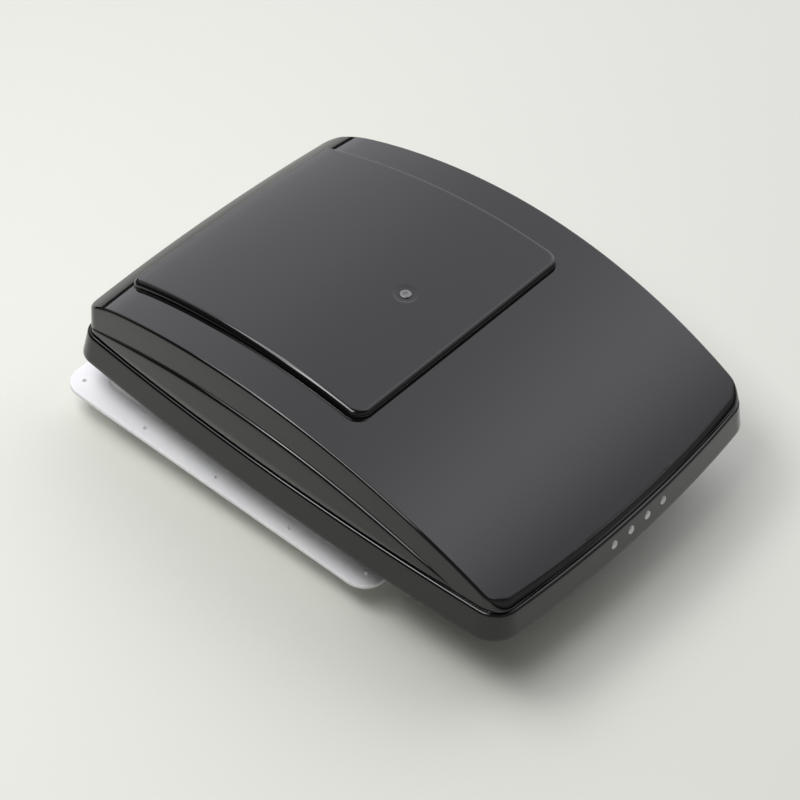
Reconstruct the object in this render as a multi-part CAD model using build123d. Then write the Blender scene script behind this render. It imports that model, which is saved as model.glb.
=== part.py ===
from build123d import *
import os
from math import asin, atan, cos, degrees, hypot, pi, radians, sin, sqrt, tan

# Caravan roof vent with its cover shut. Millimetres, +Z up. The origin is the centre of the
# flange's underside, in the roof plane. The low nose of the cover points to -Y, its steep
# end to +Y, and the hinge line runs along X behind the nose.

# Roof flange, turret and neck of the base moulding
flange_size = 412.8
flange_thickness = 4.0
flange_corner_radius = 24.0
flange_edge_radius = 1.4
screw_hole_radius = 2.3
corner_hole_pitch = 377.2
edge_hole_span = 388.8
edge_hole_pitch = 194.4
roof_opening = 355.6
roof_opening_gap = 2.8
neck_depth = 34.0
neck_wall = 3.0
turret_size = 352.0
turret_wall = 2.8
turret_top = 85.0
turret_corner_radius = 20.0
turret_foot_radius = 4.0
plate_ledge_top = 22.0
plate_ledge_width = 9.0
plate_ledge_thickness = 4.0

# Outline and section of the rain cover
cover_width = 419.0
cover_nose_y = -369.2
cover_rear_y = 203.8
nose_narrowing = 5.6
rear_narrowing = 16.6
nose_bow = 13.0
rear_bow = 7.0
nose_corner_radius = 34.0
rear_corner_radius = 27.0
cover_wall = 3.5
rim_bottom = 44.0
rim_top = 74.0
rim_top_inset = 5.7
rim_edge_radius = 3.6
body_inset = 9.0
body_top_inset = 10.5
groove_height = 2.4
groove_depth = 1.5
roof_crest_y = -48.7
roof_crest_z = 155.5
roof_radius = 655.0
rear_bend_y = 135.0
rear_bend_radius = 150.0
rear_bend_end = 80.0
roof_edge_radius = 4.0

# Raised panel, dimple and side swellings of the rain cover
panel_rise = 8.0
panel_front_y = -145.0
panel_rear_y = 166.0
panel_half_width = 158.0
panel_rear_narrowing = 11.0
panel_bow_share = 0.3
panel_front_radius = 20.0
panel_rear_radius = 13.0
panel_edge_radius = 7.0
panel_draft = 3.0
dimple_y = -66.7
dimple_radius = 12.0
dimple_depth = 1.6
swelling_front_y = -295.0
swelling_crest_y = -60.0
swelling_rear_y = 187.0
swelling_crest_z = 118.0
swelling_depth = 2.8
swelling_edge_radius = 2.4
centre_screw_head_radius = 6.0
centre_screw_head_height = 2.4

# Front hinge, its rivets and its bracket
hinge_y = -350.0
hinge_z = 58.0
hinge_pin_radius = 2.5
knuckle_radius = 5.5
knuckle_pitch = 26.0
lid_knuckle_length = 11.0
base_knuckle_length = 13.0
leaf_thickness = 1.5
leaf_bottom = 50.0
leaf_top = 68.0
hinge_pad_thickness = 3.0
rivet_z = 60.4
rivet_head_radius = 4.5
rivet_head_height = 1.3
rivet_radius = 2.4
rivet_tail_radius = 3.8
rivet_seat_radius = 5.4
rivet_seat_depth = 0.7
rivet_dome_share = 0.7
leaf_lug_half = 3.0
pin_head_radius = 4.0
pin_head_length = 1.5
pin_tail = 3.0
bracket_half_width = 62.0
bracket_top = 66.0
bracket_skin = 3.0
bracket_web = 4.0
bracket_foot_bottom = 47.0
bracket_foot_top = 78.0
bracket_foot_thickness = 4.0
bracket_screw_x = 48.0
bracket_screw_drop = 7.0

# Lid gasket and inner lid
gasket_rise = 3.0
gasket_skirt = 4.0
gasket_wall = 1.2
soft_gap = 0.3
inner_lid_thickness = 3.0
inner_lid_size = 361.0
inner_lid_radius = 22.0
inner_lid_lip = 9.0
inner_lid_lip_thickness = 2.0
dome_size = 286.0
dome_radius = 26.0
dome_rise = 8.0
dome_taper = 5.0
boss_radius = 7.0
boss_x = 110.0
boss_front_y = -112.0
boss_rear_y = 120.0

# Fan, its orifice plate, motor and spider
fan_radius = 150.0
fan_tip_gap = 3.5
fan_blade_count = 10
blade_thickness = 2.2
blade_root_chord = 56.0
blade_tip_chord = 74.0
blade_root_pitch = 40.0
blade_tip_pitch = 20.0
blade_camber = 5.0
blade_pitch_dip = 2.5
blade_mid_z = 35.0
hub_radius = 45.0
hub_bottom = 14.0
hub_top = 54.0
hub_wall = 3.0
hub_boss_radius = 10.0
hub_edge_radius = 4.0
fan_shaft_radius = 4.0
fan_shaft_top = 61.5
nut_flats = 13.0
nut_height = 6.0
plate_thickness = 3.0
plate_edge_gap = 0.5
plate_screw_offset = 90.0
orifice_wall = 3.0
orifice_bottom = 8.0
orifice_top = 60.0
spider_post_offset = 118.0
spider_post_radius = 6.0
spider_reach = 10.0
spider_hub_radius = 32.0
spider_arm_width = 15.0
spider_thickness = 3.0
spider_rib = 4.0
spider_rib_width = 3.0
spider_bottom = 2.0
motor_radius = 42.0
motor_height = 21.0
motor_boss_radius = 11.0
motor_boss_height = 4.0
motor_bore_depth = 14.0
motor_screw_circle_radius = 22.0
motor_edge_radius = 3.0

# Lift drive: shaft, worm wheel, worm, gearbox, motor, arms, glides and tracks
lift_shaft_y = -148.0
lift_shaft_z = 68.0
lift_shaft_radius = 4.0
lift_arm_length = 220.0
lift_arm_shut_angle = 1.0
lift_arm_travel = 24.0
lid_travel = 12.5
arm_x = 160.0
arm_thickness = 3.0
arm_width = 12.0
arm_hub_radius = 8.0
arm_hub_length = 8.0
glide_radius = 4.0
glide_pin_radius = 2.0
glide_length = 8.0
glide_clearance = 0.3
track_x = 153.5
track_thickness = 4.0
track_drop = 16.5
track_flange_width = 12.0
track_flange_thickness = 3.0
track_length = 60.0
tooth_pitch = 3.2
wheel_teeth = 30
tooth_addendum = 1.0
tooth_dedendum = 1.25
tooth_thickness = 1.2
pressure_angle = 20.0
wheel_x = 125.0
wheel_width = 6.0
wheel_hub_radius = 8.0
wheel_hub_length = 12.0
worm_pitch_radius = 6.0
worm_length = 18.0
worm_stub_radius = 2.0
worm_stub_length = 12.0
gearbox_half_width = 13.0
gearbox_wall = 2.0
gearbox_gap = 1.2
gearbox_corner_radius = 5.0
gearbox_foot = 14.0
gearbox_rear_room = 2.5
gearbox_screw_radius = 1.5
gearbox_screw_head_radius = 2.6
gearbox_screw_length = 20.0
gearbox_post_radius = 2.6
roll_pin_radius = 1.25
lift_motor_radius = 10.5
lift_motor_height = 22.0
bearing_length = 6.0
bearing_radius = 8.5
bearing_foot = 3.0
bearing_foot_half_width = 8.0
bearing_foot_drop = 17.0
bearing_screw_drop = 12.8
bearing_screw_offset = 4.3
running_gap = 0.05

# Screen, knobs, control panel and board inside the neck
shelf_thickness = 3.0
shelf_lip = 8.0
shelf_front_depth = 37.0
shelf_pad = 30.0
shelf_drop = 24.0
screen_frame_thickness = 4.0
screen_frame_width = 12.0
screen_gap = 1.5
screen_mesh_thickness = 0.8
screen_hole_count = 13
screen_bar = 1.6
knob_inset = 14.0
knob_radius = 9.0
knob_height = 4.4
knob_shank_radius = 2.4
knob_bar_length = 11.0
knob_bar_width = 4.0
knob_bar_height = 2.0
knob_slot_gap = 0.8
knob_running_gap = 0.1
knob_grip_half = 1.8
knob_disc_share = 0.35
panel_half_length = 150.0
panel_depth = 31.0
panel_floor = 2.0
panel_side = 2.0
panel_bottom_margin = 2.0
panel_corner_radius = 4.0
panel_post_radius = 5.5
button_radius = 5.5
button_flange_radius = 7.0
button_flange_height = 1.0
button_pitch = 24.0
button_count = 5
button_travel = 0.8
button_proud = 1.0
button_gap = 0.15
board_thickness = 1.5
board_margin = 3.0
board_top_gap = 1.2
switch_size = 6.0
small_screw_radius = 1.75
small_screw_head_radius = 3.5
small_screw_head_height = 2.4
small_screw_length = 10.0
screw_slot_share = 0.35
screw_floor_share = 0.6
clearance = 0.2
overrun = 5.0

# Sizes worked out from the ones above
half_cover = cover_width / 2
neck_half = roof_opening / 2 - roof_opening_gap
neck_inner = neck_half - neck_wall
turret_half = turret_size / 2
turret_inner = turret_half - turret_wall
seal_z = turret_top + gasket_rise + soft_gap
inner_lid_top = seal_z + inner_lid_thickness
boss_seat_z = inner_lid_top + dome_rise
orifice_radius = fan_radius + fan_tip_gap
plate_top = plate_ledge_top + plate_thickness
wheel_pitch_radius = wheel_teeth * tooth_pitch / (2 * pi)
worm_y = lift_shaft_y + wheel_pitch_radius + worm_pitch_radius
gearbox_bottom = lift_shaft_z - wheel_pitch_radius - tooth_addendum - gearbox_gap - gearbox_wall
lift_shaft_half_length = turret_inner - bearing_foot - clearance
rim_height = rim_top - rim_bottom
rim_slope = rim_top_inset / rim_height
cover_mid_y = (cover_nose_y + cover_rear_y) / 2
shelf_bottom = -shelf_drop
shelf_top = shelf_bottom + shelf_thickness
screen_front_y = -neck_inner + shelf_front_depth
panel_bottom = -neck_depth + panel_bottom_margin


# Plain helpers
def cylinder_up(radius, bottom, top, x=0, y=0):
    """Upright cylinder between two heights."""
    body = Cylinder(radius, top - bottom, align=(Align.CENTER, Align.CENTER, Align.MIN))
    return Pos(x, y, bottom) * body


def cylinder_x(radius, start, end, y, z):
    """Cylinder along X between two stations."""
    body = Cylinder(radius, end - start, align=(Align.CENTER, Align.CENTER, Align.MIN))
    return Pos(start, y, z) * Rot(0, 90, 0) * body


def block(x_range, y_range, z_range):
    """Box between two stations on each axis."""
    spans = [high - low for low, high in (x_range, y_range, z_range)]
    body = Box(*spans, align=(Align.MIN, Align.MIN, Align.MIN))
    return Pos(x_range[0], y_range[0], z_range[0]) * body


def slab(sketch, bottom, top):
    """Flat sketch made solid between two heights."""
    return extrude(Plane.XY.offset(bottom) * sketch, amount=top - bottom)


def square_tube(outer_half, inner_half, outer_radius, bottom, top):
    """Upright square tube with rounded corners and an even wall."""
    wall = outer_half - inner_half
    outer = RectangleRounded(2 * outer_half, 2 * outer_half, outer_radius)
    inner = RectangleRounded(2 * inner_half, 2 * inner_half, outer_radius - wall)
    return slab(outer - inner, bottom, top)


def tapered(lower, upper, bottom, top):
    """Straight walls from one outline to another of the same make."""
    return loft([Plane.XY.offset(bottom) * lower, Plane.XY.offset(top) * upper], ruled=True)


def screw(radius, head_radius, head_height, length):
    """Pan head screw that points down, with its head's underside at the origin."""
    shank = cylinder_up(radius, -length, 0)
    head = cylinder_up(head_radius, 0, head_height)
    top = head.edges().group_by(Axis.Z)[-1]
    head = fillet(top, head_height / 2)
    slot_half = radius * screw_slot_share
    slot_floor = head_height * screw_floor_share
    slot = block((-head_radius, head_radius), (-slot_half, slot_half), (slot_floor, head_height + overrun))
    return shank + head - slot


def small_screw():
    return screw(small_screw_radius, small_screw_head_radius, small_screw_head_height, small_screw_length)


def in_corners(x, y):
    """The four places that mirror one corner in both planes."""
    return [(sx * x, sy * y) for sx in (-1, 1) for sy in (-1, 1)]


def gather(solids):
    """Several like solids that share one node."""
    return Compound(children=[item.solid() for item in solids])


# Base moulding
def base_moulding():
    """Roof flange, turret wall, neck and the shelf that carries the screen."""
    flange_plan = RectangleRounded(flange_size, flange_size, flange_corner_radius)
    flange = slab(flange_plan, 0, flange_thickness)
    flange = fillet(flange.edges().group_by(Axis.Z)[-1], flange_edge_radius)
    turret = slab(RectangleRounded(turret_size, turret_size, turret_corner_radius), 0, turret_top)
    body = flange + turret
    level = [edge for edge in body.edges() if lies_flat_at(edge, flange_thickness)]
    foot = [edge for edge in level if inside_square(edge, turret_half)]
    body = fillet(foot, turret_foot_radius)
    body += slab(RectangleRounded(2 * neck_half, 2 * neck_half, turret_corner_radius), -neck_depth, 0)
    body -= base_bore()
    body -= flange_holes()
    body -= wall_screw_holes()
    return body + screen_shelf() + plate_ledge()


def lies_flat_at(edge, height):
    box = edge.bounding_box()
    return abs(box.min.Z - height) < clearance and abs(box.max.Z - height) < clearance


def inside_square(edge, half):
    middle = edge.center()
    return max(abs(middle.X), abs(middle.Y)) < half + clearance


def base_bore():
    """Space inside the turret and the neck."""
    upper_radius = turret_corner_radius - turret_wall
    lower_radius = turret_corner_radius - neck_wall
    upper = slab(RectangleRounded(2 * turret_inner, 2 * turret_inner, upper_radius), 0, turret_top + overrun)
    lower = slab(RectangleRounded(2 * neck_inner, 2 * neck_inner, lower_radius), -neck_depth - overrun, 0)
    return upper + lower


def flange_holes():
    """Five screw holes along each side of the flange."""
    corner = corner_hole_pitch / 2
    side = edge_hole_span / 2
    step = edge_hole_pitch / 2
    places = in_corners(corner, corner)
    for along in (-step, 0, step):
        places += [(along, -side), (along, side), (-side, along), (side, along)]
    holes = [cylinder_up(screw_hole_radius, -overrun, flange_thickness + overrun, x, y) for x, y in places]
    return Compound(children=holes)


def wall_screw_holes():
    """Holes in the turret wall for the bracket and bearing screws."""
    radius = small_screw_radius + running_gap
    reach = turret_wall + bracket_foot_thickness + bearing_foot
    level_hole = Rot(90, 0, 0) * Cylinder(radius, reach)
    holes = [Pos(x, -turret_half, z) * level_hole for x, y, z in bracket_screw_places()]
    for x, y, z in bearing_screw_places(-1) + bearing_screw_places(1):
        holes.append(cylinder_x(radius, x - reach, x + reach, y, z))
    return Compound(children=holes)


def plate_ledge():
    """Inside ledge that carries the orifice plate."""
    bottom = plate_ledge_top - plate_ledge_thickness
    inner = turret_inner - plate_ledge_width
    sunk = turret_inner + turret_wall / 2
    ring = square_tube(sunk, inner, turret_corner_radius - turret_wall / 2, bottom, plate_ledge_top)
    return ring - plate_screw_holes(bottom - overrun, plate_ledge_top + overrun)


def plate_screw_places():
    """Two screws along each side of the orifice plate."""
    line = turret_inner - plate_ledge_width / 2
    along = plate_screw_offset
    return in_corners(line, along) + in_corners(along, line)


def plate_screw_holes(bottom, top):
    radius = small_screw_radius + running_gap
    return Compound(children=[cylinder_up(radius, bottom, top, x, y) for x, y in plate_screw_places()])


def shelf_opening():
    """Plan of the air opening in the shelf, with a pad left in each corner."""
    low = screen_front_y
    high = neck_inner - shelf_lip
    half = neck_inner - shelf_lip
    opening = Pos(0, (low + high) / 2) * Rectangle(2 * half, high - low)
    for sx in (-1, 1):
        for y, away in ((low, 1), (high, -1)):
            pad = Rectangle(shelf_pad, shelf_pad)
            opening -= Pos(sx * (half - shelf_pad / 2), y + away * shelf_pad / 2) * pad
    return opening


def screen_shelf():
    """Shelf inside the neck, wide at the front for the control panel."""
    size = 2 * neck_inner + neck_wall
    plan = RectangleRounded(size, size, turret_corner_radius - neck_wall / 2)
    shelf = slab(plan - shelf_opening(), shelf_bottom, shelf_top)
    for x, y in knob_places():
        shelf -= Pos(x, y) * knob_slot(shelf_bottom - overrun, shelf_top + overrun)
    for x, y in panel_screw_places():
        radius = small_screw_radius + running_gap
        shelf -= cylinder_up(radius, shelf_bottom - overrun, shelf_top + overrun, x, y)
    return shelf


def knob_places():
    """Knob axes, one in each corner of the screen frame."""
    x = neck_inner - shelf_lip - knob_inset
    front = screen_front_y + knob_inset
    rear = neck_inner - shelf_lip - knob_inset
    return [(-x, front), (x, front), (-x, rear), (x, rear)]


def knob_slot(bottom, top):
    """Slot that lets the crossbar of a knob through when it is turned a quarter."""
    width = 2 * knob_shank_radius + knob_slot_gap
    return slab(SlotOverall(knob_bar_length + knob_slot_gap, width, rotation=90), bottom, top)


# Rain cover
def cover_outline(inset):
    """Plan of the cover with its bowed sides, drawn in from the rim's bottom edge."""
    nose_x = half_cover - nose_narrowing
    rear_x = half_cover - rear_narrowing
    nose_y = cover_nose_y + nose_bow
    rear_y = cover_rear_y - rear_bow
    lines = [
        ThreePointArc((nose_x, nose_y), (half_cover, cover_mid_y), (rear_x, rear_y)),
        ThreePointArc((rear_x, rear_y), (0, cover_rear_y), (-rear_x, rear_y)),
        ThreePointArc((-rear_x, rear_y), (-half_cover, cover_mid_y), (-nose_x, nose_y)),
        ThreePointArc((-nose_x, nose_y), (0, cover_nose_y), (nose_x, nose_y)),
    ]
    plan = make_face(lines)
    corners = plan.vertices().sort_by(Axis.Y)
    plan = fillet(corners[:2], nose_corner_radius)
    corners = plan.vertices().group_by(Axis.Y)[-1]
    plan = fillet(corners, rear_corner_radius)
    return offset(plan, amount=-inset) if inset else plan


def roof_prism(lift):
    """All that lies under the arched roof line, raised by lift, across the whole width."""
    centre = (roof_crest_y, roof_crest_z - roof_radius)
    bend = asin((rear_bend_y - roof_crest_y) / roof_radius)
    start = -asin((roof_crest_y - cover_nose_y + overrun) / roof_radius)
    shift = roof_radius - rear_bend_radius
    rear_centre = (centre[0] + shift * sin(bend), centre[1] + shift * cos(bend))
    main = roof_radius + lift
    rear = rear_bend_radius + lift
    end = radians(rear_bend_end)

    def on_arc(middle, radius, angle):
        return (middle[0] + radius * sin(angle), middle[1] + radius * cos(angle))

    first = on_arc(centre, main, start)
    knee = on_arc(centre, main, bend)
    last = on_arc(rear_centre, rear, end)
    lines = [
        ThreePointArc(first, on_arc(centre, main, (start + bend) / 2), knee),
        ThreePointArc(knee, on_arc(rear_centre, rear, (bend + end) / 2), last),
        Line(last, (last[0], 0)),
        Line((last[0], 0), (first[0], 0)),
        Line((first[0], 0), first),
    ]
    return extrude(Plane.YZ * make_face(lines), amount=cover_width, both=True)


def roof_height(y, lift=0):
    """Height of the roof line at a station along the cover."""
    centre_z = roof_crest_z - roof_radius
    if y < rear_bend_y:
        return centre_z + sqrt((roof_radius + lift) ** 2 - (y - roof_crest_y) ** 2)
    bend = asin((rear_bend_y - roof_crest_y) / roof_radius)
    shift = roof_radius - rear_bend_radius
    across = y - roof_crest_y - shift * sin(bend)
    return centre_z + shift * cos(bend) + sqrt((rear_bend_radius + lift) ** 2 - across**2)


def panel_outline(inset):
    """Plan of the raised panel, narrower towards the rear."""
    rear_x = panel_half_width - panel_rear_narrowing
    widest_y = (panel_front_y + panel_rear_y) / 2
    front = (panel_half_width, panel_front_y)
    rear = (rear_x, panel_rear_y)
    side = (panel_half_width - panel_rear_narrowing * panel_bow_share, widest_y)
    lines = [
        ThreePointArc(front, side, rear),
        Line(rear, (-rear_x, panel_rear_y)),
        ThreePointArc((-rear_x, panel_rear_y), (-side[0], widest_y), (-front[0], panel_front_y)),
        Line((-front[0], panel_front_y), front),
    ]
    plan = make_face(lines)
    plan = fillet(plan.vertices().sort_by(Axis.Y)[:2], panel_front_radius)
    plan = fillet(plan.vertices().group_by(Axis.Y)[-1], panel_rear_radius)
    return offset(plan, amount=-inset) if inset else plan


def raised_panel(shrink):
    """Solid under the raised panel, down to a level well inside the cover."""
    top = roof_crest_z + panel_rise + overrun
    walls = tapered(panel_outline(shrink), panel_outline(shrink + panel_draft), rim_top, top)
    return walls & roof_prism(panel_rise - shrink)


def cover_body(shrink):
    """Body of the cover above the rim, shrunk by a wall for the inside."""
    low = cover_outline(body_inset + shrink)
    high = cover_outline(body_top_inset + shrink)
    walls = tapered(low, high, rim_top - shrink, roof_crest_z + overrun)
    return walls & roof_prism(-shrink)


def cover_rim(shrink):
    """Drafted rim of the cover, shrunk by a wall for the inside."""
    bottom = rim_bottom - (overrun if shrink else 0)
    low = cover_outline(shrink + (bottom - rim_bottom) * rim_slope)
    high = cover_outline(shrink + (rim_height - shrink) * rim_slope)
    return tapered(low, high, bottom, rim_top - shrink)


def roof_edges(body):
    """Edges where the roof meets the walls of the body."""
    def runs_round(edge):
        start = edge @ 0
        end = edge @ 1
        middle = edge.center()
        level_run = hypot(end.X - start.X, end.Y - start.Y) > overrun
        across_bend = abs(middle.Y - rear_bend_y) < clearance and abs(middle.X) < clearance
        return middle.Z > rim_top + clearance and level_run and not across_bend

    return [edge for edge in body.edges() if runs_round(edge)]


def outer_cover():
    """Whole outer form of the rain cover, with no inside."""
    body = cover_body(0)
    body = fillet(roof_edges(body), roof_edge_radius)
    panel = raised_panel(0)
    panel = fillet(panel_top_edges(panel), panel_edge_radius)
    rim = cover_rim(0)
    rim = fillet(rim.edges().group_by(Axis.Z)[-1], rim_edge_radius)
    return rim + body + panel + rounded_swellings()


def panel_top_edges(panel):
    """Edges round the top of the raised panel, without the bend line across it."""
    def runs_round(edge):
        start = edge @ 0
        end = edge @ 1
        middle = edge.center()
        level_run = hypot(end.X - start.X, end.Y - start.Y) > overrun
        across_bend = abs(middle.Y - rear_bend_y) < overrun and abs(middle.X) < clearance
        return middle.Z > rim_top + overrun and level_run and not across_bend

    return [edge for edge in panel.edges() if runs_round(edge)]


def swelling_prism(shrink):
    """Lens shaped prism of the side swellings, through the whole width."""
    bottom = rim_top + groove_height + shrink
    rear = (swelling_rear_y - 2 * shrink, bottom)
    crest = (swelling_crest_y, swelling_crest_z - shrink)
    front = (swelling_front_y + 2 * shrink, bottom)
    plan = make_face([ThreePointArc(front, crest, rear), Line(rear, front)])
    return extrude(Plane.YZ * plan, amount=cover_width, both=True)


def side_swellings(shrink):
    """Lens shaped swellings of both side walls, shrunk by a wall for the inside."""
    low = cover_outline(body_inset - swelling_depth + shrink)
    high = cover_outline(body_top_inset - swelling_depth + shrink)
    walls = tapered(low, high, rim_top, roof_crest_z + overrun)
    return walls & swelling_prism(shrink)


def rounded_swellings():
    """Side swellings with a rounding along the upper edge of each."""
    bar = side_swellings(0)
    arcs = [edge for edge in bar.edges() if edge.center().Z > rim_top + 2 * groove_height]
    return fillet(arcs, swelling_edge_radius)


def rim_groove():
    """Groove that runs round the body just above the rim."""
    outer = slab(cover_outline(0), rim_top, rim_top + groove_height)
    plan = cover_outline(body_inset + groove_depth)
    core = slab(plan, rim_top - overrun, rim_top + groove_height + overrun)
    return outer - core


def cover_cavity():
    """Inside of the rain cover, one wall thickness in from the outside."""
    body = cover_body(cover_wall)
    low_body = slab(cover_outline(body_inset + cover_wall), rim_bottom, rim_top - cover_wall + clearance)
    return cover_rim(cover_wall) + low_body + body + raised_panel(cover_wall) + side_swellings(cover_wall)


def boss_places():
    """Bosses that carry the inner lid, the last one under the dimple."""
    places = [(sx * boss_x, y) for sx in (-1, 1) for y in (boss_front_y, boss_rear_y)]
    return places + [(0, dimple_y)]


def nose_bow_at(x):
    """How far the bowed nose wall has come back at a station across it."""
    return nose_bow * (x / (half_cover - nose_narrowing)) ** 2


def rivet_plane(x):
    """Plane on the drafted nose wall at one rivet, facing out of the cover."""
    tilt = degrees(atan(rim_slope))
    out = (rivet_z - rim_bottom) * rim_slope
    origin = (x, cover_nose_y + out + nose_bow_at(x), rivet_z)
    normal = (0, -cos(radians(tilt)), sin(radians(tilt)))
    return Plane(origin=origin, x_dir=(1, 0, 0), z_dir=normal)


def leaf_plane():
    """Front face of the hinge leaf, flat against the pad inside the nose."""
    outside = rivet_plane(0)
    back = cover_wall + hinge_pad_thickness
    return Plane(origin=outside.origin - outside.z_dir * back, x_dir=(1, 0, 0), z_dir=outside.z_dir)


def rivet_xs():
    """Stations of the four nose rivets."""
    half = knuckle_pitch / 2
    return [-3 * half, -half, half, 3 * half]


def rain_cover():
    """Moulded shell with its bosses, hinge pad, dimple and side swellings."""
    outer = outer_cover()
    shell = outer - cover_cavity()
    envelope = cover_rim(clearance) + cover_body(clearance) + raised_panel(clearance)
    for x, y in boss_places():
        shell += cylinder_up(boss_radius, boss_seat_z, roof_crest_z + panel_rise, x, y) & envelope
    shell += hinge_pad() & envelope
    shell -= rim_groove()
    shell -= dimple()
    for x, y in boss_places():
        bottom = boss_seat_z - overrun
        shell -= cylinder_up(small_screw_radius, bottom, boss_seat_z + small_screw_length, x, y)
    for x in rivet_xs():
        plane = rivet_plane(x)
        shell -= plane * Cylinder(rivet_radius, 2 * (cover_wall + hinge_pad_thickness) + overrun)
        shell -= plane * cylinder_up(rivet_seat_radius, -rivet_seat_depth, overrun)
    return shell


def hinge_pad():
    """Flat pad moulded behind the nose wall for the hinge leaf."""
    half = leaf_half_length() + clearance
    size = leaf_height() + 2 * clearance
    depth = 2 * (cover_wall + hinge_pad_thickness)
    return leaf_plane() * Box(2 * half, size, depth, align=(Align.CENTER, Align.CENTER, Align.MIN))


def leaf_half_length():
    return 3 * knuckle_pitch / 2 + base_knuckle_length + rivet_tail_radius


def leaf_height():
    return leaf_top - leaf_bottom


def dimple():
    """Round dimple in the raised panel and the hole for its screw."""
    top = roof_height(dimple_y, panel_rise)
    dish = Pos(0, dimple_y, top - dimple_depth) * Cone(
        dimple_radius - dimple_depth,
        dimple_radius + overrun,
        dimple_depth + overrun,
        align=(Align.CENTER, Align.CENTER, Align.MIN),
    )
    hole = cylinder_up(small_screw_radius, top - small_screw_length - dimple_depth, top, 0, dimple_y)
    return dish + hole


# Front hinge
def hinge_knuckle(x, length, bore):
    """Barrel round the hinge pin at one station."""
    half = length / 2
    barrel = cylinder_x(knuckle_radius, x - half, x + half, hinge_y, hinge_z)
    return barrel - cylinder_x(bore, x - half - overrun, x + half + overrun, hinge_y, hinge_z)


def lid_knuckle_xs():
    return [-knuckle_pitch, 0, knuckle_pitch]


def hinge_leaf():
    """Flat leaf behind the nose with three knuckles for the pin."""
    bore = hinge_pin_radius + running_gap
    seat = (Align.CENTER, Align.CENTER, Align.MAX)
    plate = Box(2 * leaf_half_length(), leaf_height(), leaf_thickness, align=seat)
    leaf = leaf_plane() * fillet(plate.edges().filter_by(Axis.Z), leaf_thickness * 2)
    for x in lid_knuckle_xs():
        half = lid_knuckle_length / 2
        front = leaf_plane().origin.Y + leaf_thickness / 2
        lug_height = (hinge_z - leaf_lug_half, hinge_z + leaf_lug_half)
        arm = block((x - half, x + half), (front, hinge_y), lug_height)
        arm -= cylinder_x(bore, x - half - overrun, x + half + overrun, hinge_y, hinge_z)
        leaf += arm + hinge_knuckle(x, lid_knuckle_length, bore)
    for x in rivet_xs():
        leaf -= rivet_plane(x) * Cylinder(rivet_radius, 2 * rivet_grip() + overrun)
    return leaf


def rivet_grip():
    """Wall, pad and leaf that each rivet holds together."""
    return cover_wall + hinge_pad_thickness + leaf_thickness


def nose_rivets():
    """Four rivets with domed heads outside and set tails behind the leaf."""
    rivets = []
    for x in rivet_xs():
        head = cylinder_up(rivet_head_radius, -rivet_seat_depth, rivet_head_height - rivet_seat_depth)
        head = fillet(head.edges().group_by(Axis.Z)[-1], rivet_head_height * rivet_dome_share)
        grip = rivet_grip() - nose_bow_at(x) * cos(atan(rim_slope))
        shank = cylinder_up(rivet_radius, -grip, -rivet_seat_depth)
        tail = cylinder_up(rivet_tail_radius, -grip - rivet_head_height, -grip)
        rivets.append(rivet_plane(x) * (head + shank + tail))
    return gather(rivets)


def base_knuckle_xs():
    half = knuckle_pitch / 2
    return [-3 * half, -half, half, 3 * half]


def hinge_bracket():
    """Ribbed tray that reaches forward from the turret to the hinge pin."""
    wall = -turret_half
    front = hinge_y + knuckle_radius
    foot = block((-bracket_half_width, bracket_half_width), (wall - bracket_foot_thickness, wall),
                 (bracket_foot_bottom, bracket_foot_top))
    skin_height = (bracket_top - bracket_skin, bracket_top)
    skin = block((-bracket_half_width, bracket_half_width), (front, wall), skin_height)
    bracket = foot + skin
    for x in base_knuckle_xs():
        web = bracket_web_side()
        bracket += Pos(x - bracket_web / 2, 0, 0) * web
        bracket += hinge_knuckle(x, base_knuckle_length, hinge_pin_radius)
        half = base_knuckle_length / 2
        horn = block((x - half, x + half), (hinge_y, front + bracket_web), (hinge_z, bracket_top))
        core = (x - half - overrun, x + half + overrun)
        horn -= cylinder_x(knuckle_radius - clearance, *core, hinge_y, hinge_z)
        bracket += horn
    for x in (-1, 1):
        for z in bracket_screw_zs():
            hole = Pos(x * bracket_screw_x, wall, z) * Rot(90, 0, 0)
            bracket -= hole * Cylinder(small_screw_radius + running_gap, 2 * bracket_foot_thickness + overrun)
    return bracket


def bracket_web_side():
    """Side view of one web, deep at the turret and shallow at the pin."""
    wall = -turret_half
    front = hinge_y + knuckle_radius
    top = bracket_top - bracket_skin / 2
    points = [(front, top), (wall, top), (wall, bracket_foot_bottom), (front, hinge_z)]
    face = make_face(Polyline(*points, close=True))
    return extrude(Plane.YZ * face, amount=bracket_web)


def bracket_screw_zs():
    return (bracket_foot_bottom + bracket_screw_drop, bracket_foot_top - bracket_screw_drop)


def hinge_pin():
    """Steel pin with a head at one end."""
    end = base_knuckle_xs()[-1] + base_knuckle_length / 2
    pin = cylinder_x(hinge_pin_radius, -end - pin_head_length, end + pin_tail, hinge_y, hinge_z)
    return pin + cylinder_x(pin_head_radius, -end - pin_head_length, -end, hinge_y, hinge_z)


def pin_clip():
    """Push-on clip at the other end of the hinge pin."""
    end = base_knuckle_xs()[-1] + base_knuckle_length / 2
    clip = cylinder_x(pin_head_radius, end, end + pin_head_length, hinge_y, hinge_z)
    return clip - cylinder_x(hinge_pin_radius, end, end + pin_head_length, hinge_y, hinge_z)


def turret_screw(x, y, z, turn):
    """Screw driven level into a side of the turret, turned about the upright."""
    return Pos(x, y, z) * Rot(0, 0, turn) * Rot(0, 90, 0) * small_screw()


def bracket_screw_places():
    y = -turret_half - bracket_foot_thickness
    return [(sx * bracket_screw_x, y, z) for sx in (-1, 1) for z in bracket_screw_zs()]


def bracket_screws():
    return gather([turret_screw(x, y, z, -90) for x, y, z in bracket_screw_places()])


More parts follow.
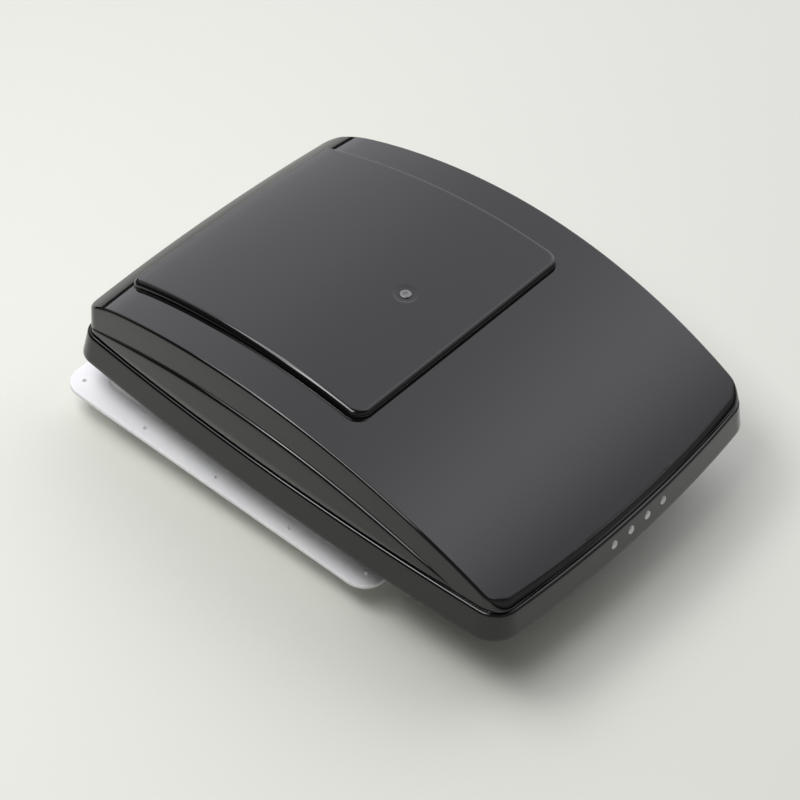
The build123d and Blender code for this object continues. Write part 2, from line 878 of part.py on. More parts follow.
# Seal and inner lid
def lid_gasket():
    """Rubber channel that sits on the turret's rim."""
    outer = turret_half + gasket_wall
    inner = turret_inner - gasket_wall
    bottom = turret_top - gasket_skirt
    band_top = turret_top + gasket_rise
    band = square_tube(outer, inner, turret_corner_radius + gasket_wall, bottom, band_top)
    slot_outer = turret_half + running_gap
    slot_inner = turret_inner - running_gap
    slot_radius = turret_corner_radius + running_gap
    slot = square_tube(slot_outer, slot_inner, slot_radius, bottom - overrun, turret_top)
    return band - slot


def inner_lid():
    """Moulded lid under the cover: flat seat, lip round the outside and a raised middle."""
    half = inner_lid_size / 2
    plate = slab(RectangleRounded(inner_lid_size, inner_lid_size, inner_lid_radius), seal_z, inner_lid_top)
    lip_inner = half - inner_lid_lip_thickness
    lip = square_tube(half, lip_inner, inner_lid_radius, seal_z - inner_lid_lip, seal_z)
    lid = plate + lip + lid_dome(0) - lid_dome(inner_lid_thickness)
    for x, y in boss_places():
        radius = small_screw_radius + running_gap
        lid -= cylinder_up(radius, seal_z - overrun, boss_seat_z + overrun, x, y)
    for x, y in track_screw_places():
        lid -= cylinder_up(small_screw_radius + running_gap, seal_z - overrun, inner_lid_top + overrun, x, y)
    return lid


def lid_dome(shrink):
    """Raised middle of the inner lid, or the hollow under it."""
    bottom = inner_lid_top - (overrun if shrink else clearance)
    low = dome_plan(shrink)
    high = dome_plan(shrink + dome_taper)
    return tapered(low, high, bottom, boss_seat_z - shrink)


def dome_plan(shrink):
    size = dome_size - 2 * shrink
    return RectangleRounded(size, size, dome_radius - shrink)


def lid_screws():
    """Screws that hold the inner lid up against the bosses of the cover."""
    places = boss_places()[:-1]
    seat = boss_seat_z - inner_lid_thickness
    return gather([Pos(x, y, seat) * Rot(180, 0, 0) * small_screw() for x, y in places])


def centre_screw():
    """Screw in the dimple of the raised panel."""
    top = roof_height(dimple_y, panel_rise) - dimple_depth
    head = centre_screw_head_radius
    item = screw(small_screw_radius, head, centre_screw_head_height, small_screw_length)
    return Pos(0, dimple_y, top) * item


# Fan
def blade_section(radius, chord, pitch):
    """Cambered section of a blade, square to the radius."""
    half = chord / 2
    half_thick = blade_thickness / 2
    tail = (-half, -half_thick)
    nose = (half, -half_thick)
    lower = ThreePointArc(tail, (0, blade_camber - half_thick), nose)
    front = Line(nose, (half, half_thick))
    upper = ThreePointArc((half, half_thick), (0, blade_camber + half_thick), (-half, half_thick))
    back = Line((-half, half_thick), tail)
    plane = Plane(origin=(radius, 0, blade_mid_z), x_dir=(0, 1, 0), z_dir=(1, 0, 0))
    return plane * Rot(0, 0, pitch) * make_face([lower, front, upper, back])


def fan_blade():
    """One twisted blade, from inside the hub wall to past the tip circle."""
    inner = hub_radius - 2 * hub_wall
    outer = fan_radius + overrun
    middle = (inner + outer) / 2
    chord = (blade_root_chord + blade_tip_chord) / 2
    pitch = (blade_root_pitch + blade_tip_pitch) / 2 - blade_pitch_dip
    sections = [
        blade_section(inner, blade_root_chord, blade_root_pitch),
        blade_section(middle, chord, pitch),
        blade_section(outer, blade_tip_chord, blade_tip_pitch),
    ]
    return loft(sections)


def impeller():
    """Cup shaped hub with a boss and ten twisted blades."""
    hub = cylinder_up(hub_radius, hub_bottom, hub_top)
    hub = fillet(hub.edges().group_by(Axis.Z)[-1], hub_edge_radius)
    blade = fan_blade() & cylinder_up(fan_radius, hub_bottom - overrun, hub_top + overrun)
    step = 360 / fan_blade_count
    fan = hub + [Rot(0, 0, step * index) * blade for index in range(fan_blade_count)]
    cup = cylinder_up(hub_radius - hub_wall, hub_bottom - 4 * overrun, hub_top - hub_wall)
    boss = cylinder_up(hub_boss_radius, hub_bottom, hub_top)
    fan = fan - cup + boss
    return fan - cylinder_up(fan_shaft_radius, hub_bottom - overrun, hub_top + overrun)


def motor_shaft():
    """Steel shaft from the motor up through the impeller."""
    bottom = spider_bottom - motor_bore_depth + running_gap
    shaft = cylinder_up(fan_shaft_radius, bottom, fan_shaft_top)
    return chamfer(shaft.edges().group_by(Axis.Z)[-1], fan_shaft_radius / 4)


def impeller_nut():
    """Hexagon nut that holds the impeller."""
    radius = nut_flats / sqrt(3)
    nut = slab(RegularPolygon(radius, 6), hub_top, hub_top + nut_height)
    return nut - cylinder_up(fan_shaft_radius, hub_top - overrun, hub_top + nut_height + overrun)


def orifice_plate():
    """Square plate across the turret with a round ring close to the blade tips."""
    half = turret_inner - plate_edge_gap
    plan = RectangleRounded(2 * half, 2 * half, turret_corner_radius - turret_wall)
    plate = slab(plan, plate_ledge_top, plate_top)
    plate += cylinder_up(orifice_radius + orifice_wall, orifice_bottom, orifice_top)
    post_bottom = spider_bottom + spider_thickness
    for x, y in in_corners(spider_post_offset, spider_post_offset):
        plate += cylinder_up(spider_post_radius, post_bottom, plate_ledge_top, x, y)
    plate -= cylinder_up(orifice_radius, orifice_bottom - overrun, orifice_top + overrun)
    for x, y in in_corners(spider_post_offset, spider_post_offset):
        screw_top = post_bottom + small_screw_length
        plate -= cylinder_up(small_screw_radius, post_bottom - overrun, screw_top, x, y)
    for x, y in gearbox_foot_places():
        plate -= cylinder_up(small_screw_radius, plate_ledge_top - overrun, plate_top + overrun, x, y)
    return plate - plate_screw_holes(plate_ledge_top - overrun, plate_top + overrun)


def plate_screws():
    return gather([Pos(x, y, plate_top) * small_screw() for x, y in plate_screw_places()])


def motor_spider():
    """Four ribbed arms that carry the motor under the impeller."""
    top = spider_bottom + spider_thickness
    reach = hypot(spider_post_offset, spider_post_offset) + spider_reach
    spider = cylinder_up(spider_hub_radius, spider_bottom, top)
    half = spider_arm_width / 2
    for turn in (45, 135, 225, 315):
        arm = block((0, reach), (-half, half), (spider_bottom, top))
        rib_run = (motor_radius + spider_reach, reach - 3 * spider_reach)
        rib_width = (-spider_rib_width / 2, spider_rib_width / 2)
        rib = block(rib_run, rib_width, (spider_bottom - spider_rib, spider_bottom))
        spider += Rot(0, 0, turn) * (arm + rib)
    spider -= cylinder_up(motor_boss_radius + clearance, spider_bottom - overrun, top + overrun)
    radius = small_screw_radius + running_gap
    for x, y in in_corners(spider_post_offset, spider_post_offset):
        spider -= cylinder_up(radius, spider_bottom - overrun, top + overrun, x, y)
    for x, y in motor_screw_places():
        spider -= cylinder_up(radius, spider_bottom - overrun, top + overrun, x, y)
    return spider


def spider_screws():
    places = in_corners(spider_post_offset, spider_post_offset)
    return gather([Pos(x, y, spider_bottom) * Rot(180, 0, 0) * small_screw() for x, y in places])


def motor_screw_places():
    """Three screws evenly round the motor shaft."""
    turns = [radians(120 * index) for index in range(3)]
    return [(motor_screw_circle_radius * cos(turn), motor_screw_circle_radius * sin(turn)) for turn in turns]


def motor_screws():
    top = spider_bottom + spider_thickness
    return gather([Pos(x, y, top) * small_screw() for x, y in motor_screw_places()])


def fan_motor():
    """Flat fan motor that hangs under the spider."""
    can = cylinder_up(motor_radius, spider_bottom - motor_height, spider_bottom)
    can = fillet(can.edges().group_by(Axis.Z)[0], motor_edge_radius)
    can += cylinder_up(motor_boss_radius, spider_bottom, spider_bottom + motor_boss_height)
    bore = fan_shaft_radius + running_gap
    can -= cylinder_up(bore, spider_bottom - motor_bore_depth, spider_bottom + motor_boss_height + overrun)
    for x, y in motor_screw_places():
        bottom = spider_bottom + spider_thickness - small_screw_length
        can -= cylinder_up(small_screw_radius, bottom, spider_bottom + overrun, x, y)
    return can


# Lift drive
def lift_shaft():
    """Steel shaft across the turret that carries both lift arms."""
    end = lift_shaft_half_length
    shaft = cylinder_x(lift_shaft_radius, -end, end, lift_shaft_y, lift_shaft_z)
    for x in roll_pin_xs():
        shaft -= roll_pin_bore(x)
    return shaft


def roll_pin_xs():
    """Stations of the roll pins: one in each arm hub and one in the wheel hub."""
    wheel_pin = wheel_x - (wheel_width + wheel_hub_length) / 4
    return [-arm_x, wheel_pin, arm_x]


def roll_pin_bore(x):
    return Pos(x, lift_shaft_y, lift_shaft_z) * Cylinder(roll_pin_radius, 4 * wheel_hub_radius)


def roll_pins():
    """Pins through the hubs and the shaft."""
    length = 2 * arm_hub_radius
    pins = [Pos(x, lift_shaft_y, lift_shaft_z) * Cylinder(roll_pin_radius, length) for x in roll_pin_xs()]
    return gather(pins)


def tooth_half(height):
    """Half thickness of a tooth or thread at a height above the pitch line."""
    return tooth_thickness / 2 - height * tan(radians(pressure_angle))


def worm_wheel():
    """Spur wheel on the lift shaft, with a hub for its roll pin."""
    root = wheel_pitch_radius - tooth_dedendum
    tip = wheel_pitch_radius + tooth_addendum
    sunk = root - tooth_dedendum
    root_half = tooth_half(-2 * tooth_dedendum)
    tip_half = tooth_half(tooth_addendum)
    corners = [(sunk, -root_half), (tip, -tip_half), (tip, tip_half), (sunk, root_half)]
    tooth = make_face(Polyline(*corners, close=True))
    step = 360 / wheel_teeth
    plan = Circle(root) + [Rot(0, 0, step * index) * tooth for index in range(wheel_teeth)]
    wheel = extrude(Plane.YZ * plan, amount=wheel_width / 2, both=True)
    wheel += cylinder_x(wheel_hub_radius, -wheel_hub_length / 2 - wheel_width / 2, wheel_hub_length / 4, 0, 0)
    wheel -= cylinder_x(lift_shaft_radius, -wheel_hub_length - overrun, wheel_hub_length + overrun, 0, 0)
    return Pos(wheel_x, lift_shaft_y, lift_shaft_z) * wheel - roll_pin_bore(roll_pin_xs()[1])


def worm():
    """Worm with one right-handed thread, in mesh with the wheel at rest, and its motor stub."""
    root = worm_pitch_radius - tooth_dedendum
    tip = worm_pitch_radius + tooth_addendum
    bottom = lift_shaft_z - worm_length / 2
    start_turn = -90 - 360 * (lift_shaft_z + tooth_pitch / 2 - bottom) / tooth_pitch
    thread = worm_thread(root, tip)
    thread = Pos(0, 0, bottom) * Rot(0, 0, start_turn) * thread
    core = cylinder_up(root, bottom - tooth_pitch, bottom + worm_length + tooth_pitch / 2)
    stub = cylinder_up(worm_stub_radius, gearbox_bottom - worm_stub_length, bottom)
    return Pos(wheel_x, worm_y, 0) * (core + thread + stub)


def worm_thread(root, tip):
    """Thread of the worm from a helix, starting at the origin's height."""
    sunk = root - tooth_dedendum / 2
    path = Helix(pitch=tooth_pitch, height=worm_length, radius=worm_pitch_radius)
    root_half = tooth_half(sunk - worm_pitch_radius)
    tip_half = tooth_half(tip - worm_pitch_radius)
    low = sunk - worm_pitch_radius
    high = tip - worm_pitch_radius
    points = [(low, -root_half), (high, -tip_half), (high, tip_half), (low, root_half)]
    start = Plane(origin=path @ 0, x_dir=(1, 0, 0), z_dir=path % 0)
    section = start * make_face(Polyline(*points, close=True))
    return sweep(section, path=path, is_frenet=True)


def gearbox_plan(shrink):
    """Side outline of the gearbox round the wheel and the worm."""
    margin = gearbox_gap + gearbox_wall - shrink
    front = lift_shaft_y - wheel_pitch_radius - tooth_addendum - margin
    rear = worm_y + worm_pitch_radius + tooth_addendum + margin + gearbox_rear_room
    top = lift_shaft_z + wheel_pitch_radius + tooth_addendum + margin
    bottom = gearbox_bottom + shrink
    radius = gearbox_corner_radius - shrink
    return Pos((front + rear) / 2, (bottom + top) / 2) * RectangleRounded(rear - front, top - bottom, radius)


def gearbox_side(start, end, floor_start, floor_end):
    """Half of the gearbox: walls between two stations and a floor plate."""
    walls = gearbox_plan(0) - gearbox_plan(gearbox_wall)
    half = Pos(start, 0, 0) * extrude(Plane.YZ * walls, amount=end - start)
    half += Pos(floor_start, 0, 0) * extrude(Plane.YZ * gearbox_plan(0), amount=floor_end - floor_start)
    for y, z in gearbox_screw_places():
        half += cylinder_x(gearbox_post_radius, start, end, y, z)
    bore = lift_shaft_radius + running_gap
    return half - cylinder_x(bore, floor_start - overrun, floor_end + overrun, lift_shaft_y, lift_shaft_z)


def gearbox_screw_places():
    """Screws in the three corners of the gearbox that the wheel leaves free."""
    box = gearbox_plan(gearbox_wall + gearbox_screw_radius).bounding_box()
    return [(box.min.X, box.min.Y), (box.max.X, box.min.Y), (box.min.X, box.max.Y), (box.max.X, box.max.Y)]


def gearbox_bores(half, depth_start, depth_end):
    """Cut the screw bores of the gearbox out of one half."""
    for y, z in gearbox_screw_places():
        half -= cylinder_x(gearbox_screw_radius, depth_start, depth_end, y, z)
    return half


def gearbox_housing():
    """Outer half of the gearbox with its foot on the orifice plate and the motor seat."""
    outer = wheel_x + gearbox_half_width
    half = gearbox_side(wheel_x, outer - gearbox_wall, outer - gearbox_wall, outer)
    half += gearbox_leg()
    half -= motor_bore()
    return gearbox_bores(half, wheel_x - overrun, outer - gearbox_wall)


def gearbox_leg():
    """Leg and foot that hold the gearbox on the orifice plate."""
    outer = wheel_x + gearbox_half_width
    box = gearbox_plan(0).bounding_box()
    y_range = (box.min.X + gearbox_corner_radius, box.max.X - gearbox_corner_radius)
    leg = block((outer - gearbox_wall, outer), y_range, (plate_top, gearbox_bottom + gearbox_corner_radius))
    foot = block((outer - gearbox_wall, outer + gearbox_foot), y_range, (plate_top, plate_top + gearbox_wall))
    for x, y in gearbox_foot_places():
        foot -= cylinder_up(small_screw_radius + running_gap, plate_top - overrun, plate_top + overrun, x, y)
    return leg + foot


def gearbox_foot_places():
    """Two screws through the gearbox foot."""
    x = wheel_x + gearbox_half_width + gearbox_foot / 2
    box = gearbox_plan(0).bounding_box()
    inset = gearbox_corner_radius + 2 * small_screw_head_radius
    return [(x, box.min.X + inset), (x, box.max.X - inset)]


def motor_bore():
    """Hole in the gearbox floor for the worm's stub."""
    radius = worm_stub_radius + clearance
    return cylinder_up(radius, gearbox_bottom - overrun, gearbox_bottom + overrun, wheel_x, worm_y)


def gearbox_cover():
    """Inner half of the gearbox, held on by screws along the shaft."""
    inner = wheel_x - gearbox_half_width
    half = gearbox_side(inner + gearbox_wall, wheel_x, inner, inner + gearbox_wall)
    half -= motor_bore()
    return gearbox_bores(half, inner - overrun, wheel_x + overrun)


def gearbox_screws():
    inner = wheel_x - gearbox_half_width
    item = screw(gearbox_screw_radius, gearbox_screw_head_radius, gearbox_screw_radius, gearbox_screw_length)
    return gather([Pos(inner, y, z) * Rot(0, -90, 0) * item for y, z in gearbox_screw_places()])


def foot_screws():
    """Screws that hold the gearbox foot to the orifice plate."""
    seat = plate_top + gearbox_wall
    return gather([Pos(x, y, seat) * small_screw() for x, y in gearbox_foot_places()])


def lift_motor():
    """Small upright motor under the gearbox."""
    bottom = gearbox_bottom - lift_motor_height
    can = cylinder_up(lift_motor_radius, bottom, gearbox_bottom, wheel_x, worm_y)
    can = fillet(can.edges().group_by(Axis.Z)[0], motor_edge_radius)
    bore = worm_stub_radius + running_gap
    bore_bottom = gearbox_bottom - worm_stub_length - running_gap
    return can - cylinder_up(bore, bore_bottom, gearbox_bottom + overrun, wheel_x, worm_y)


def bearing_block(side):
    """Block on the turret wall that carries one end of the lift shaft."""
    wall = side * turret_inner
    inner = wall - side * (bearing_foot + bearing_length)
    low, high = sorted((wall, inner))
    foot_low, foot_high = sorted((wall, wall - side * bearing_foot))
    body = cylinder_x(bearing_radius, low, high, lift_shaft_y, lift_shaft_z)
    half = bearing_foot_half_width
    foot = block((foot_low, foot_high), (lift_shaft_y - half, lift_shaft_y + half),
                 (lift_shaft_z - bearing_foot_drop, lift_shaft_z + bearing_radius))
    bore_end = wall - side * bearing_foot
    bore_low, bore_high = sorted((bore_end, inner - side * overrun))
    bore = lift_shaft_radius + running_gap
    body = body + foot - cylinder_x(bore, bore_low, bore_high, lift_shaft_y, lift_shaft_z)
    for x, y, z in bearing_screw_places(side):
        body -= cylinder_x(small_screw_radius + running_gap, x - overrun, x + overrun, y, z)
    return body


def bearing_screw_places(side):
    """Head seats of the two screws of one bearing block."""
    x = side * (turret_inner - bearing_foot)
    z = lift_shaft_z - bearing_screw_drop
    return [(x, lift_shaft_y + sy * bearing_screw_offset, z) for sy in (-1, 1)]


def bearing_screws():
    left = [turret_screw(x, y, z, 0) for x, y, z in bearing_screw_places(-1)]
    right = [turret_screw(x, y, z, 180) for x, y, z in bearing_screw_places(1)]
    return gather(left + right)


def lift_arm(side):
    """Flat steel arm with a hub on the lift shaft and a hole for its glide."""
    plan = SlotCenterToCenter(lift_arm_length, arm_width)
    bar = extrude(Plane.YZ * (Pos(lift_arm_length / 2, 0) * plan), amount=arm_thickness / 2, both=True)
    bar -= cylinder_x(glide_pin_radius, -arm_width, arm_width, lift_arm_length, 0)
    hub = cylinder_x(arm_hub_radius, -arm_hub_length / 2, arm_hub_length / 2, 0, 0)
    arm = bar + hub - cylinder_x(lift_shaft_radius, -arm_hub_length, arm_hub_length, 0, 0)
    arm = Rot(lift_arm_shut_angle, 0, 0) * arm
    return Pos(side * arm_x, lift_shaft_y, lift_shaft_z) * arm - roll_pin_bore(side * arm_x)


def glide_centre():
    """Place of the glides with the cover shut."""
    angle = radians(lift_arm_shut_angle)
    return (lift_shaft_y + lift_arm_length * cos(angle), lift_shaft_z + lift_arm_length * sin(angle))


def glide(side):
    """Nylon roller with its pin, pressed into the end of an arm."""
    y, z = glide_centre()
    inner = arm_x - arm_thickness / 2
    roller = cylinder_x(glide_radius, inner - glide_length, inner, y, z)
    pin = cylinder_x(glide_pin_radius, inner, inner + arm_thickness + clearance, y, z)
    item = roller + pin
    return item if side > 0 else mirror(item, about=Plane.YZ)


def glide_in_cover(turn_share):
    """Place of a glide seen from the cover, at a share of its full travel."""
    arm = radians(lift_arm_shut_angle + lift_arm_travel * turn_share)
    lid = radians(lid_travel * turn_share)
    y = lift_shaft_y + lift_arm_length * cos(arm) - hinge_y
    z = lift_shaft_z + lift_arm_length * sin(arm) - hinge_z
    return (hinge_y + y * cos(lid) + z * sin(lid), hinge_z - y * sin(lid) + z * cos(lid))


def track(side):
    """Slotted rail under the inner lid that the glide runs in."""
    start = glide_in_cover(0)
    end = glide_in_cover(1)
    middle_y = (start[0] + end[0]) / 2
    middle_z = (start[1] + end[1]) / 2
    run = hypot(end[0] - start[0], end[1] - start[1])
    slot = SlotCenterToCenter(run, 2 * (glide_radius + glide_clearance))
    tilt = degrees(atan((start[1] - end[1]) / (start[0] - end[0])))
    half = track_thickness / 2
    bottom = seal_z - track_drop - glide_radius
    run_y = (middle_y - track_length / 2, middle_y + track_length / 2)
    rail = block((-half, half), run_y, (bottom, seal_z))
    rail = fillet(rail.edges().filter_by(Axis.X).group_by(Axis.Z)[0], glide_radius)
    rail += block((-half - track_flange_width, half), run_y, (seal_z - track_flange_thickness, seal_z))
    plan = Plane.YZ * (Pos(middle_y, middle_z) * Rot(0, 0, tilt) * slot)
    cut = extrude(plan, amount=track_thickness, both=True)
    rail = Pos(track_x, 0, 0) * (rail - cut)
    for x, y in track_screw_places():
        if x > 0:
            rail -= cylinder_up(small_screw_radius + running_gap, seal_z - overrun, seal_z + overrun, x, y)
    return rail if side > 0 else mirror(rail, about=Plane.YZ)


def track_screw_places():
    """Two screws through the flange of each track."""
    middle_y = (glide_in_cover(0)[0] + glide_in_cover(1)[0]) / 2
    x = track_x - track_thickness / 2 - track_flange_width / 2
    step = track_length / 2 - 2 * small_screw_head_radius
    return [(sx * x, middle_y + sy * step) for sx in (-1, 1) for sy in (-1, 1)]


def track_screws():
    seat = seal_z - track_flange_thickness
    return gather([Pos(x, y, seat) * Rot(180, 0, 0) * small_screw() for x, y in track_screw_places()])


# Screen and controls inside the neck
def screen_opening():
    """Plan of the hole in the screen frame."""
    front = screen_front_y + screen_gap
    rear = neck_inner - screen_gap
    width = 2 * (neck_inner - screen_gap - screen_frame_width)
    depth = rear - front - 2 * screen_frame_width
    opening = Pos(0, (front + rear) / 2) * Rectangle(width, depth)
    pad = shelf_lip + shelf_pad - screen_frame_width
    for x, y in knob_places():
        opening -= Pos(x, y) * Rectangle(pad, pad)
    return opening


def screen_frame():
    """Moulded frame that holds the insect screen under the shelf."""
    front = screen_front_y + screen_gap
    rear = neck_inner - screen_gap
    width = 2 * (neck_inner - screen_gap)
    radius = turret_corner_radius - neck_wall
    plan = Pos(0, (front + rear) / 2) * RectangleRounded(width, rear - front, radius)
    frame = slab(plan - screen_opening(), shelf_bottom - screen_frame_thickness, shelf_bottom)
    slot = knob_slot(shelf_bottom - screen_frame_thickness - overrun, shelf_bottom + overrun)
    for x, y in knob_places():
        frame -= Pos(x, y) * slot
    return frame


def insect_screen():
    """Open net in the screen frame, one sheet with square holes."""
    opening = screen_opening()
    box = opening.bounding_box()
    step_x = (box.max.X - box.min.X - screen_bar) / screen_hole_count
    step_y = (box.max.Y - box.min.Y - screen_bar) / screen_hole_count
    pad = shelf_lip + shelf_pad - screen_frame_width
    holes = []
    for column in range(screen_hole_count):
        for row in range(screen_hole_count):
            x = box.min.X + screen_bar / 2 + (column + 1 / 2) * step_x
            y = box.min.Y + screen_bar / 2 + (row + 1 / 2) * step_y
            if not over_pad(x, y, (pad + step_x) / 2, (pad + step_y) / 2):
                holes.append(Pos(x, y) * Rectangle(step_x - screen_bar, step_y - screen_bar))
    bottom = shelf_bottom - screen_frame_thickness / 2
    return slab(opening - holes, bottom, bottom + screen_mesh_thickness)


def over_pad(x, y, reach_x, reach_y):
    return any(abs(x - px) < reach_x and abs(y - py) < reach_y for px, py in knob_places())


def screen_knob(x, y):
    """Quarter-turn knob: grip below the frame and crossbar above the shelf."""
    top = shelf_bottom - screen_frame_thickness - knob_running_gap
    head = cylinder_up(knob_radius, top - knob_height * knob_disc_share, top)
    grip_width = (-knob_grip_half, knob_grip_half)
    grip = block((-knob_radius, knob_radius), grip_width, (top - knob_height, top))
    grip &= cylinder_up(knob_radius, top - knob_height, top)
    bar_bottom = shelf_top + knob_running_gap
    bar_top = bar_bottom + knob_bar_height
    shank = cylinder_up(knob_shank_radius, top, bar_top)
    half = knob_bar_length / 2
    bar = block((-half, half), (-knob_bar_width / 2, knob_bar_width / 2), (bar_bottom, bar_top))
    bar = fillet(bar.edges().filter_by(Axis.Z), knob_bar_width / 4)
    return Pos(x, y) * (head + grip + shank + bar)


def panel_middle_y():
    return -neck_inner + panel_side / 2 + panel_depth / 2


def panel_screw_places():
    x = panel_half_length - panel_side / 2 - panel_post_radius
    return [(sx * x, panel_middle_y()) for sx in (-1, 1)]


def control_panel():
    """Shallow tray under the shelf with five button holes and two ribs for the board."""
    outer = RectangleRounded(2 * panel_half_length, panel_depth, panel_corner_radius)
    inner = offset(outer, amount=-panel_side)
    floor_top = panel_bottom + panel_floor
    tray = slab(outer, panel_bottom, shelf_bottom) - slab(inner, floor_top, shelf_bottom + overrun)
    board_bottom = shelf_bottom - board_top_gap - board_thickness
    rib_depth = panel_depth / 2 - panel_side
    for side in (-1, 1):
        x = side * (board_half_length() - panel_side)
        rib_x = (x - panel_side / 2, x + panel_side / 2)
        tray += block(rib_x, (-rib_depth, rib_depth), (floor_top, board_bottom))
    for x in button_xs():
        tray -= cylinder_up(button_radius + button_gap, panel_bottom - overrun, floor_top + overrun, x)
    tray = Pos(0, panel_middle_y()) * tray
    for x, y in panel_screw_places():
        tray += cylinder_up(panel_post_radius, panel_bottom, shelf_bottom, x, y)
        tray -= cylinder_up(small_screw_head_radius + clearance, panel_bottom - overrun, floor_top, x, y)
        tray -= cylinder_up(small_screw_radius + running_gap, panel_bottom, shelf_bottom + overrun, x, y)
    return tray


def board_half_length():
    return panel_half_length - 2 * panel_side - 2 * panel_post_radius - board_margin


def button_xs():
    middle = (button_count - 1) / 2
    return [(index - middle) * button_pitch for index in range(button_count)]


def circuit_board():
    """Board above the buttons with one switch over each."""
    top = shelf_bottom - board_top_gap
    half_depth = panel_depth / 2 - panel_side - clearance
    half = board_half_length()
    board = block((-half, half), (-half_depth, half_depth), (top - board_thickness, top))
    switch_bottom = button_flange_top() + button_travel + clearance
    switch_half = switch_size / 2
    switch_height = (switch_bottom, top - board_thickness)
    for x in button_xs():
        board += block((x - switch_half, x + switch_half), (-switch_half, switch_half), switch_height)
    return Pos(0, panel_middle_y()) * board


def button_flange_top():
    return panel_bottom + panel_floor + running_gap + button_flange_height


def push_button(x):
    """Round button with a flange that keeps it in the panel."""
    bottom = panel_bottom - button_proud
    cap = cylinder_up(button_radius, bottom, button_flange_top())
    cap = fillet(cap.edges().group_by(Axis.Z)[0], button_proud / 2)
    flange_bottom = button_flange_top() - button_flange_height
    flange = cylinder_up(button_flange_radius, flange_bottom, button_flange_top())
    return Pos(x, panel_middle_y()) * (cap + flange)


def panel_screws():
    seat = panel_bottom + panel_floor
    return gather([Pos(x, y, seat) * Rot(180, 0, 0) * small_screw() for x, y in panel_screw_places()])


# Every node with its maker
def all_nodes():
    nodes = {
        "base_moulding": base_moulding(),
        "lid_gasket": lid_gasket(),
        "hinge_bracket": hinge_bracket(),
        "bracket_screws": bracket_screws(),
        "hinge_pin": hinge_pin(),
        "pin_clip": pin_clip(),
        "orifice_plate": orifice_plate(),
        "plate_screws": plate_screws(),
        "motor_spider": motor_spider(),
        "spider_screws": spider_screws(),
        "fan_motor": fan_motor(),
        "motor_screws": motor_screws(),
        "gearbox_housing": gearbox_housing(),
        "gearbox_cover": gearbox_cover(),
        "gearbox_screws": gearbox_screws(),
        "foot_screws": foot_screws(),
        "lift_motor": lift_motor(),
        "bearing_left": bearing_block(-1),
        "bearing_right": bearing_block(1),
        "bearing_screws": bearing_screws(),
        "screen_frame": screen_frame(),
        "insect_screen": insect_screen(),
        "control_panel": control_panel(),
        "panel_screws": panel_screws(),
        "circuit_board": circuit_board(),
        "rain_cover": rain_cover(),
        "centre_screw": centre_screw(),
        "hinge_leaf": hinge_leaf(),
        "nose_rivets": nose_rivets(),
        "inner_lid": inner_lid(),
        "lid_screws": lid_screws(),
        "track_left": track(-1),
        "track_right": track(1),
        "track_screws": track_screws(),
        "lift_shaft": lift_shaft(),
        "worm_wheel": worm_wheel(),
        "lift_arm_left": lift_arm(-1),
        "lift_arm_right": lift_arm(1),
        "glide_left": glide(-1),
        "glide_right": glide(1),
        "roll_pins": roll_pins(),
        "worm": worm(),
        "impeller": impeller(),
        "motor_shaft": motor_shaft(),
        "impeller_nut": impeller_nut(),
    }
    for index, (x, y) in enumerate(knob_places()):
        nodes[f"screen_knob_{index + 1}"] = screen_knob(x, y)
    for index, x in enumerate(button_xs()):
        nodes[f"push_button_{index + 1}"] = push_button(x)
    return nodes


os.makedirs("parts", exist_ok=True)
for name, shape in all_nodes().items():
    export_step(shape, f"parts/{name}.step")
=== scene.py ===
from math import atan2, cos, hypot, pi, radians, sin

import bmesh
import bpy
import numpy as np
from mathutils import Matrix, Vector


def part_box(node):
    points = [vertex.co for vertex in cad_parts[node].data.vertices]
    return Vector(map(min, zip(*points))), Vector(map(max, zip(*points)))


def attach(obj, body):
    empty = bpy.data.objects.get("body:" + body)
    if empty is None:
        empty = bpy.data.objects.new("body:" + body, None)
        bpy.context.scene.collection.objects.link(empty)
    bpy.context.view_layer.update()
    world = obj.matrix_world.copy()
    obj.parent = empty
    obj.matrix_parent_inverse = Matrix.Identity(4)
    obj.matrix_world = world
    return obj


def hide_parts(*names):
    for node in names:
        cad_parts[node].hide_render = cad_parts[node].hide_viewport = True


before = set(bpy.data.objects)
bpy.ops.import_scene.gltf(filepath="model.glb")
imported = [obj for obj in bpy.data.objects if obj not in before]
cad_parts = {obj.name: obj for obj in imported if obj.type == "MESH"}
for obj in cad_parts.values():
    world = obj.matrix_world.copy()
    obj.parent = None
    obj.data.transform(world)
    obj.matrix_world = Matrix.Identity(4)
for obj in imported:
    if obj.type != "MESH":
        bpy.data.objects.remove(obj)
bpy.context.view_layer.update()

# The camera stands above the near corner of the vent, well back with a long lens, so that
# the outlines stay nearly parallel. Its roll and its sideways offset follow the photograph.
view_azimuth = radians(-53.216)
view_elevation = radians(45.215)
view_roll = radians(4.911)
view_distance = 2.580937
view_offset = (-0.055258, 0.021419)
focal_pixels = 2511.364
picture_pixels = 800

camera_data = bpy.data.cameras.new("camera")
camera = bpy.data.objects.new("camera", camera_data)
bpy.context.scene.collection.objects.link(camera)
camera_data.sensor_width = 36.0
camera_data.lens = focal_pixels * camera_data.sensor_width / picture_pixels
camera_data.clip_end = 50.0
level = Vector((cos(view_azimuth), sin(view_azimuth), 0.0))
back = Vector((sin(view_azimuth) * cos(view_elevation), -cos(view_azimuth) * cos(view_elevation),
               sin(view_elevation)))
steep = back.cross(level)
right = level * cos(view_roll) + steep * sin(view_roll)
up = steep * cos(view_roll) - level * sin(view_roll)
stand = back * view_distance - right * view_offset[0] - up * view_offset[1]
camera.matrix_world = Matrix((
    (right.x, up.x, back.x, stand.x),
    (right.y, up.y, back.y, stand.y),
    (right.z, up.z, back.z, stand.z),
    (0.0, 0.0, 0.0, 1.0),
))
bpy.context.scene.camera = camera
bpy.context.scene.view_settings.view_transform = "Standard"


